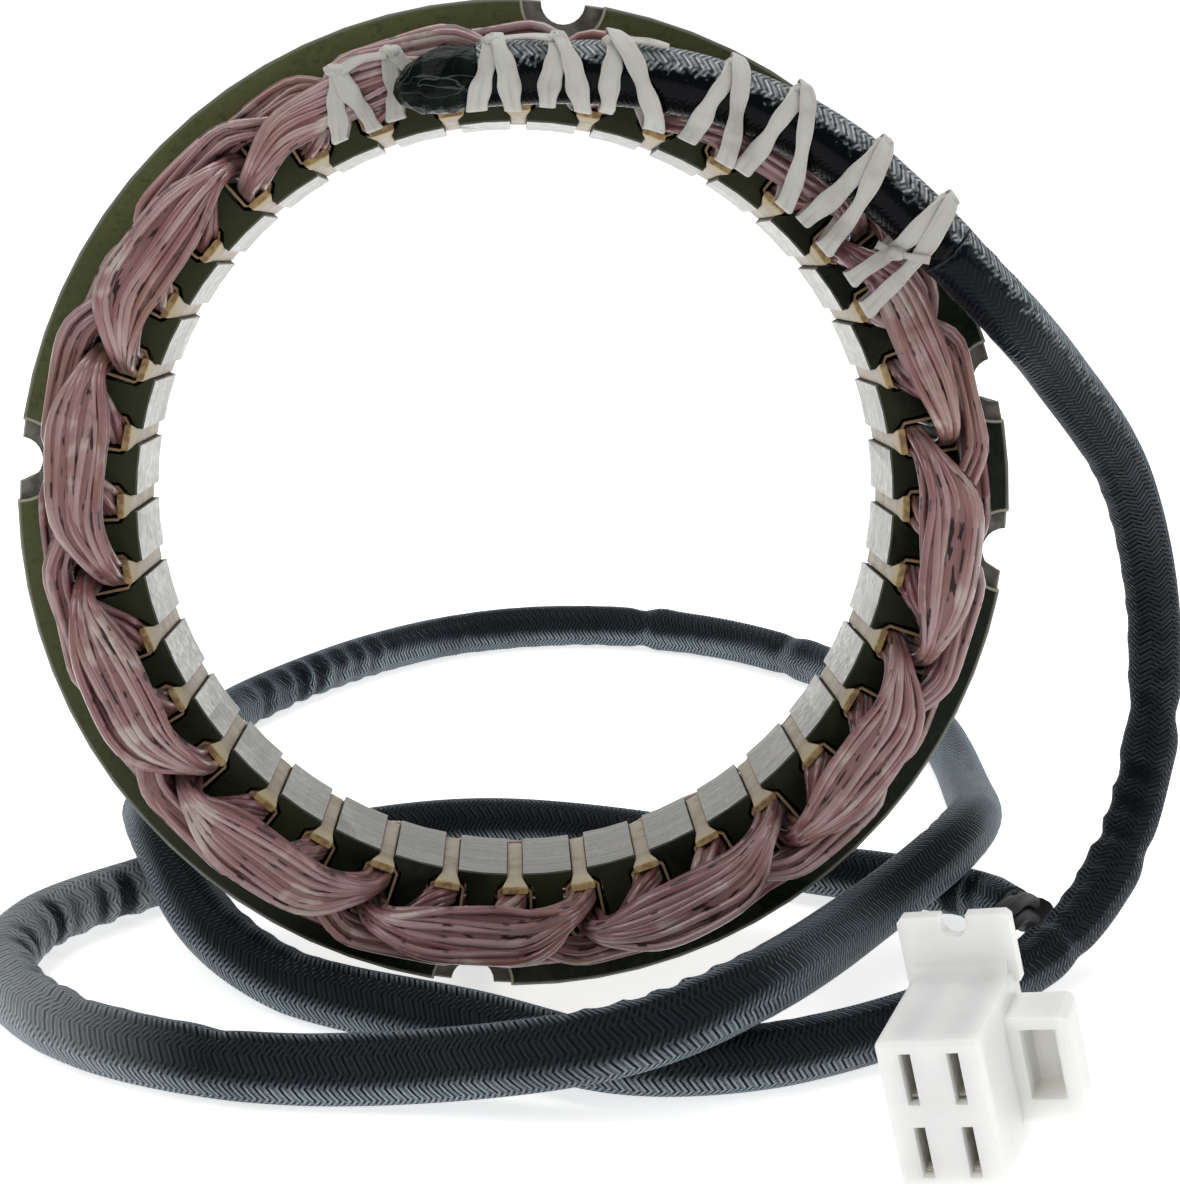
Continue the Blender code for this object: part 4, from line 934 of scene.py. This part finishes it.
rng = np.random.default_rng(11)
tape_rings = {}
for number, (start, feet, holds) in enumerate(TIES, start=1):
    loops = []
    for turn_number, foot in enumerate(feet):
        middle = None
        if holds:
            middle = (np.interp((start + foot) / 2, held_angles, held_radii), SLEEVE_HEIGHT)
        low, high = FACE + 0.0106 - 0.0019, FACE + 0.0122
        slack = 0.00035 + TAPE_THICKNESS * turn_number
        shape = taut_loop(((0.0614, low), (0.07, high)), middle, SLEEVE_RADIUS, slack)
        share = (shape[:, :1].max() - shape[:, 0]) / np.ptp(shape[:, 0])
        degrees = start + share * (foot - start) + 0.12 * np.sin(share * 9.0 + number)
        line = over_ring(degrees, shape[:, 0], shape[:, 1])
        along = unit(np.roll(line, -1, axis=0) - np.roll(line, 1, axis=0))
        sideways = over_ring(degrees + 90.0, 1.0, 0.0) - over_ring(degrees + 90.0, 0.0, 0.0)
        normal = unit(np.cross(sideways, along))
        width = TAPE_WIDTH * rng.uniform(0.95, 1.1)
        uneven = 0.17 * np.sin(share * 7.0 + rng.uniform(0.0, 6.0)) + 0.08 * np.sin(share * 19.0)
        widths = width * (1.0 + uneven - 0.34 * np.exp(-((share / 0.14) ** 2)))
        loops.append(ribbon(line, along, normal, widths))
        if turn_number == 0:
            peak = line[np.argmax(shape[:, 0] + 0.6 * shape[:, 1])]
            loops += bunch(peak, rng, 0.00125)
    tape_rings[number] = loops

# Ends of tape run from a pair of turns to the next, over the top wave or the sleeve. The last
# knot sits half way down the first turn of its tie and has two short tails.
STRIPS = ((1, -21.5, -15.5, False), (3, -1.7, 4.6, True), (5, 12.2, 18.0, True))
tails = []
for tie, begin, end, on_sleeve in STRIPS:
    degrees = np.linspace(begin, end, 30)
    hump = np.sin(np.linspace(0.0, math.pi, 30))
    if on_sleeve:
        lift = SLEEVE_RADIUS + 0.0006 + 0.0003 * hump
        radii = np.interp(degrees, held_angles, held_radii) + lift * math.cos(0.55)
        rises = SLEEVE_HEIGHT + lift * math.sin(0.55) + 0 * radii
        out = over_ring(degrees, math.cos(0.55), math.sin(0.55)) - over_ring(degrees, 0.0, 0.0)
    else:
        radii, rises = 0.07 + 0.0006 * hump, 0.0247 + 0 * degrees
        out = over_ring(degrees, 0.5, 0.87) - over_ring(degrees, 0.0, 0.0)
    line = over_ring(degrees, radii, rises)
    widths = 0.0016 + 0.0004 * np.sin(np.linspace(0.0, 5.0, 30) + tie)
    tails.append(ribbon(line, unit(np.gradient(line, axis=0)), unit(out), widths))
knot = over_ring(55.1, 0.0677, 0.0314)
ring_out = over_ring(55.1, 0.0, 1.0) - over_ring(55.1, 0.0, 0.0)
tails += bunch(knot, rng, 0.0012)
for degrees, radius, height in ((57.8, 0.0709, 0.0345), (52.8, 0.0664, 0.03)):
    tip = over_ring(degrees, radius, height)
    line = knot + (tip - knot) * np.linspace(0.0, 1.0, 12)[:, None]
    widths = np.linspace(0.0008, 0.0013, 12)
    normals = np.broadcast_to(ring_out, line.shape)
    tails.append(ribbon(line, unit(np.gradient(line, axis=0)), normals, widths))
constants = {"Subsurface_Weight": 0.25, "Subsurface_Scale": 0.0012, "Sheen_Weight": 0.3}
tape = Finish("cotton_tape", 0.75, **constants)
u, v, _ = tape.split(tape.place("UV"))
spot = tape.place()
fibres = tape.noise(tape.joined(tape.times(u, 14.0), tape.times(v, 60.0)), 1.0, 4.0)
stain = tape.noise(spot, 120.0, 4.0)
tape_colour = tape.mix(tape.band(stain, 0.45, 0.75), (0.43, 0.425, 0.395), (0.29, 0.28, 0.25))
tape_colour = tape.mix(tape.band(fibres, 0.45, 0.75, 0.0, 0.4), tape_colour, (0.23, 0.225, 0.2))
tape_normal = tape.bump(fibres, 0.7, 0.0003)
for number, loops in tape_rings.items():
    far = np.linspace(0.0, 0.05, loops[0].shape[0])
    tie = piece(f"tape_{number}", loops, closed=True, uv=(1.0, far))
    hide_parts(f"lacing_tie_{number}")
    tape.on(tie, Base_Color=tape_colour, Normal=tape_normal)
tail_far = [np.linspace(0.0, 0.02, len(rings)) for rings in tails]
tape_ends = piece("tape_ends", tails, uv=[(1.0, far) for far in tail_far])
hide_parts("lacing_tie_9")
tape.on(tape_ends, Base_Color=tape_colour, Normal=tape_normal)


# Plug
# A moulded nylon housing with four ways, a notched tab on top and a latch at its right.
# The plastic is milky white and lets a little light in; the ways look grey inside.

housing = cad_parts["connector_housing"]
terminals = [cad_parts[f"terminal_{k}"] for k in range(1, 5)]
constants = {"Subsurface_Weight": 0.75, "Subsurface_Scale": 0.006}
nylon = Finish("white_nylon", 0.4, **constants, Subsurface_Radius=(1.0, 0.95, 0.85))
spot = nylon.place()
flow = nylon.noise(spot, 70.0, 3.0)
pores = nylon.noise(spot, 1500.0, 2.0)
nylon.on(
    housing,
    Base_Color=nylon.mix(nylon.band(flow, 0.4, 0.7), (0.78, 0.78, 0.76), (0.72, 0.72, 0.695)),
    Normal=nylon.bump(pores, 0.08, 0.0002),
)
tin = Finish("tinned_brass", 0.55, 0.15)
dull = tin.band(tin.noise(tin.place(), 500.0), 0.4, 0.7)
plating = tin.mix(dull, (0.74, 0.72, 0.66), (0.6, 0.57, 0.5))
for terminal in terminals:
    tin.on(terminal, Base_Color=plating)

LEAD_RADIUS = 0.0012
cable_end = np.array(FREE_ROUTE[-1])
cable_way = np.array([0.49913, -0.85891, 0.11461])
sideways = np.array([-0.86461, -0.50244, 0.0])
upright = np.cross(sideways, cable_way)
LEAD_ROUTE = [
    (0.0826, -0.01, 0.0105),
    (0.0785, -0.02, 0.0135),
    (0.074, -0.03, 0.015),
    (0.07, -0.041, 0.015),
]
# For each way its place in the plug, a point behind it and a point inside it.
WAYS = (
    (-1, 1, (0.06248, -0.0612, 0.01882), (0.05844, -0.07043, 0.01823)),
    (1, 1, (0.06844, -0.0639, 0.02028), (0.06439, -0.07314, 0.01969)),
    (-1, -1, (0.06493, -0.06159, 0.0081), (0.06089, -0.07083, 0.00751)),
    (1, -1, (0.07089, -0.0643, 0.00956), (0.06684, -0.07353, 0.00898)),
)
wires = []
for u, v, before, inside_way in WAYS:
    spread = (sideways * u + upright * v) * 0.00132
    route = [cable_end + spread, cable_end + cable_way * 0.0025 + spread]
    route += [np.array(point) + spread for point in LEAD_ROUTE]
    route += [np.array(before), np.array(inside_way)]
    line = smooth_line(route, 0.0008)
    wires.append(tube(line, (0, 0, 1), np.full(len(line), LEAD_RADIUS), 12))
binding_ends = [cable_end + cable_way * 0.0003, cable_end + cable_way * 0.0053]
binding_line = smooth_line(binding_ends, 0.00025)
binding_far = lengths(binding_line)
layers = 0.003 + 0.00012 * (np.floor(binding_far / 0.0011) % 2)
layers = layers + 0.00012 * np.sin(binding_far * 5200.0)
wires.append(tube(binding_line, (0, 0, 1), layers, 24))
leads = piece("lead_wires", wires)
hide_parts("lead_tails")
rubber = Finish("lead_insulation", 0.5, Specular_IOR_Level=0.12)
spot = rubber.place()
rubber.on(
    leads,
    Base_Color=rubber.mix(rubber.noise(spot, 300.0), (0.003, 0.003, 0.004), (0.012, 0.012, 0.015)),
    Normal=rubber.bump(rubber.noise(spot, 1200.0), 0.15, 0.0003),
)


# Floor and light
# A plain white table and backdrop under large soft lamps, at a level that shows colours as set.

floor_mesh = bpy.data.meshes.new("table")
floor_mesh.from_pydata([(-6, -3, 0), (6, -3, 0), (6, 14, 0), (-6, 14, 0)], [], [(0, 1, 2, 3)])
floor = bpy.data.objects.new("table", floor_mesh)
bpy.context.scene.collection.objects.link(floor)
white = Finish("white_table", 0.8)
white.shader.inputs["Base Color"].default_value = (0.86, 0.86, 0.86, 1.0)
white.shader.inputs["Emission Color"].default_value = (1.0, 1.0, 1.0, 1.0)
white.shader.inputs["Emission Strength"].default_value = 0.68
white.on(floor)

world = bpy.data.worlds.new("studio")
world.use_nodes = True
bpy.context.scene.world = world
nodes, links = world.node_tree.nodes, world.node_tree.links
backdrop = nodes["Background"]
path_node = nodes.new("ShaderNodeLightPath")
level = nodes.new("ShaderNodeMapRange")
level.inputs["To Min"].default_value = 0.4
level.inputs["To Max"].default_value = 1.15
links.new(path_node.outputs["Is Camera Ray"], level.inputs["Value"])
links.new(level.outputs["Result"], backdrop.inputs["Strength"])
backdrop.inputs["Color"].default_value = (1.0, 1.0, 1.0, 1.0)


def lamp(name, place, aim, size, power):
    """A soft box that looks at a point."""
    light = bpy.data.lights.new(name, "AREA")
    light.shape = "RECTANGLE"
    light.size, light.size_y = size
    light.energy = power
    box = bpy.data.objects.new(name, light)
    bpy.context.scene.collection.objects.link(box)
    back = unit(np.asarray(place, float) - np.asarray(aim, float))
    right = unit(np.cross((0.0, 0.0, 1.0), back))
    matrix = np.eye(4)
    matrix[:3, 0], matrix[:3, 1], matrix[:3, 2] = right, np.cross(back, right), back
    matrix[:3, 3] = place
    box.matrix_world = Matrix(matrix.tolist())


lamp("key", (-0.6, -0.55, 0.95), (0.0, 0.0, 0.07), (0.6, 0.6), 3.2)
lamp("fill", (0.8, -0.45, 0.55), (0.0, 0.0, 0.07), (0.5, 0.7), 1.8)
lamp("top", (0.05, 0.3, 1.15), (0.0, 0.0, 0.05), (1.2, 0.7), 8.0)
bpy.context.scene.view_settings.view_transform = "Standard"
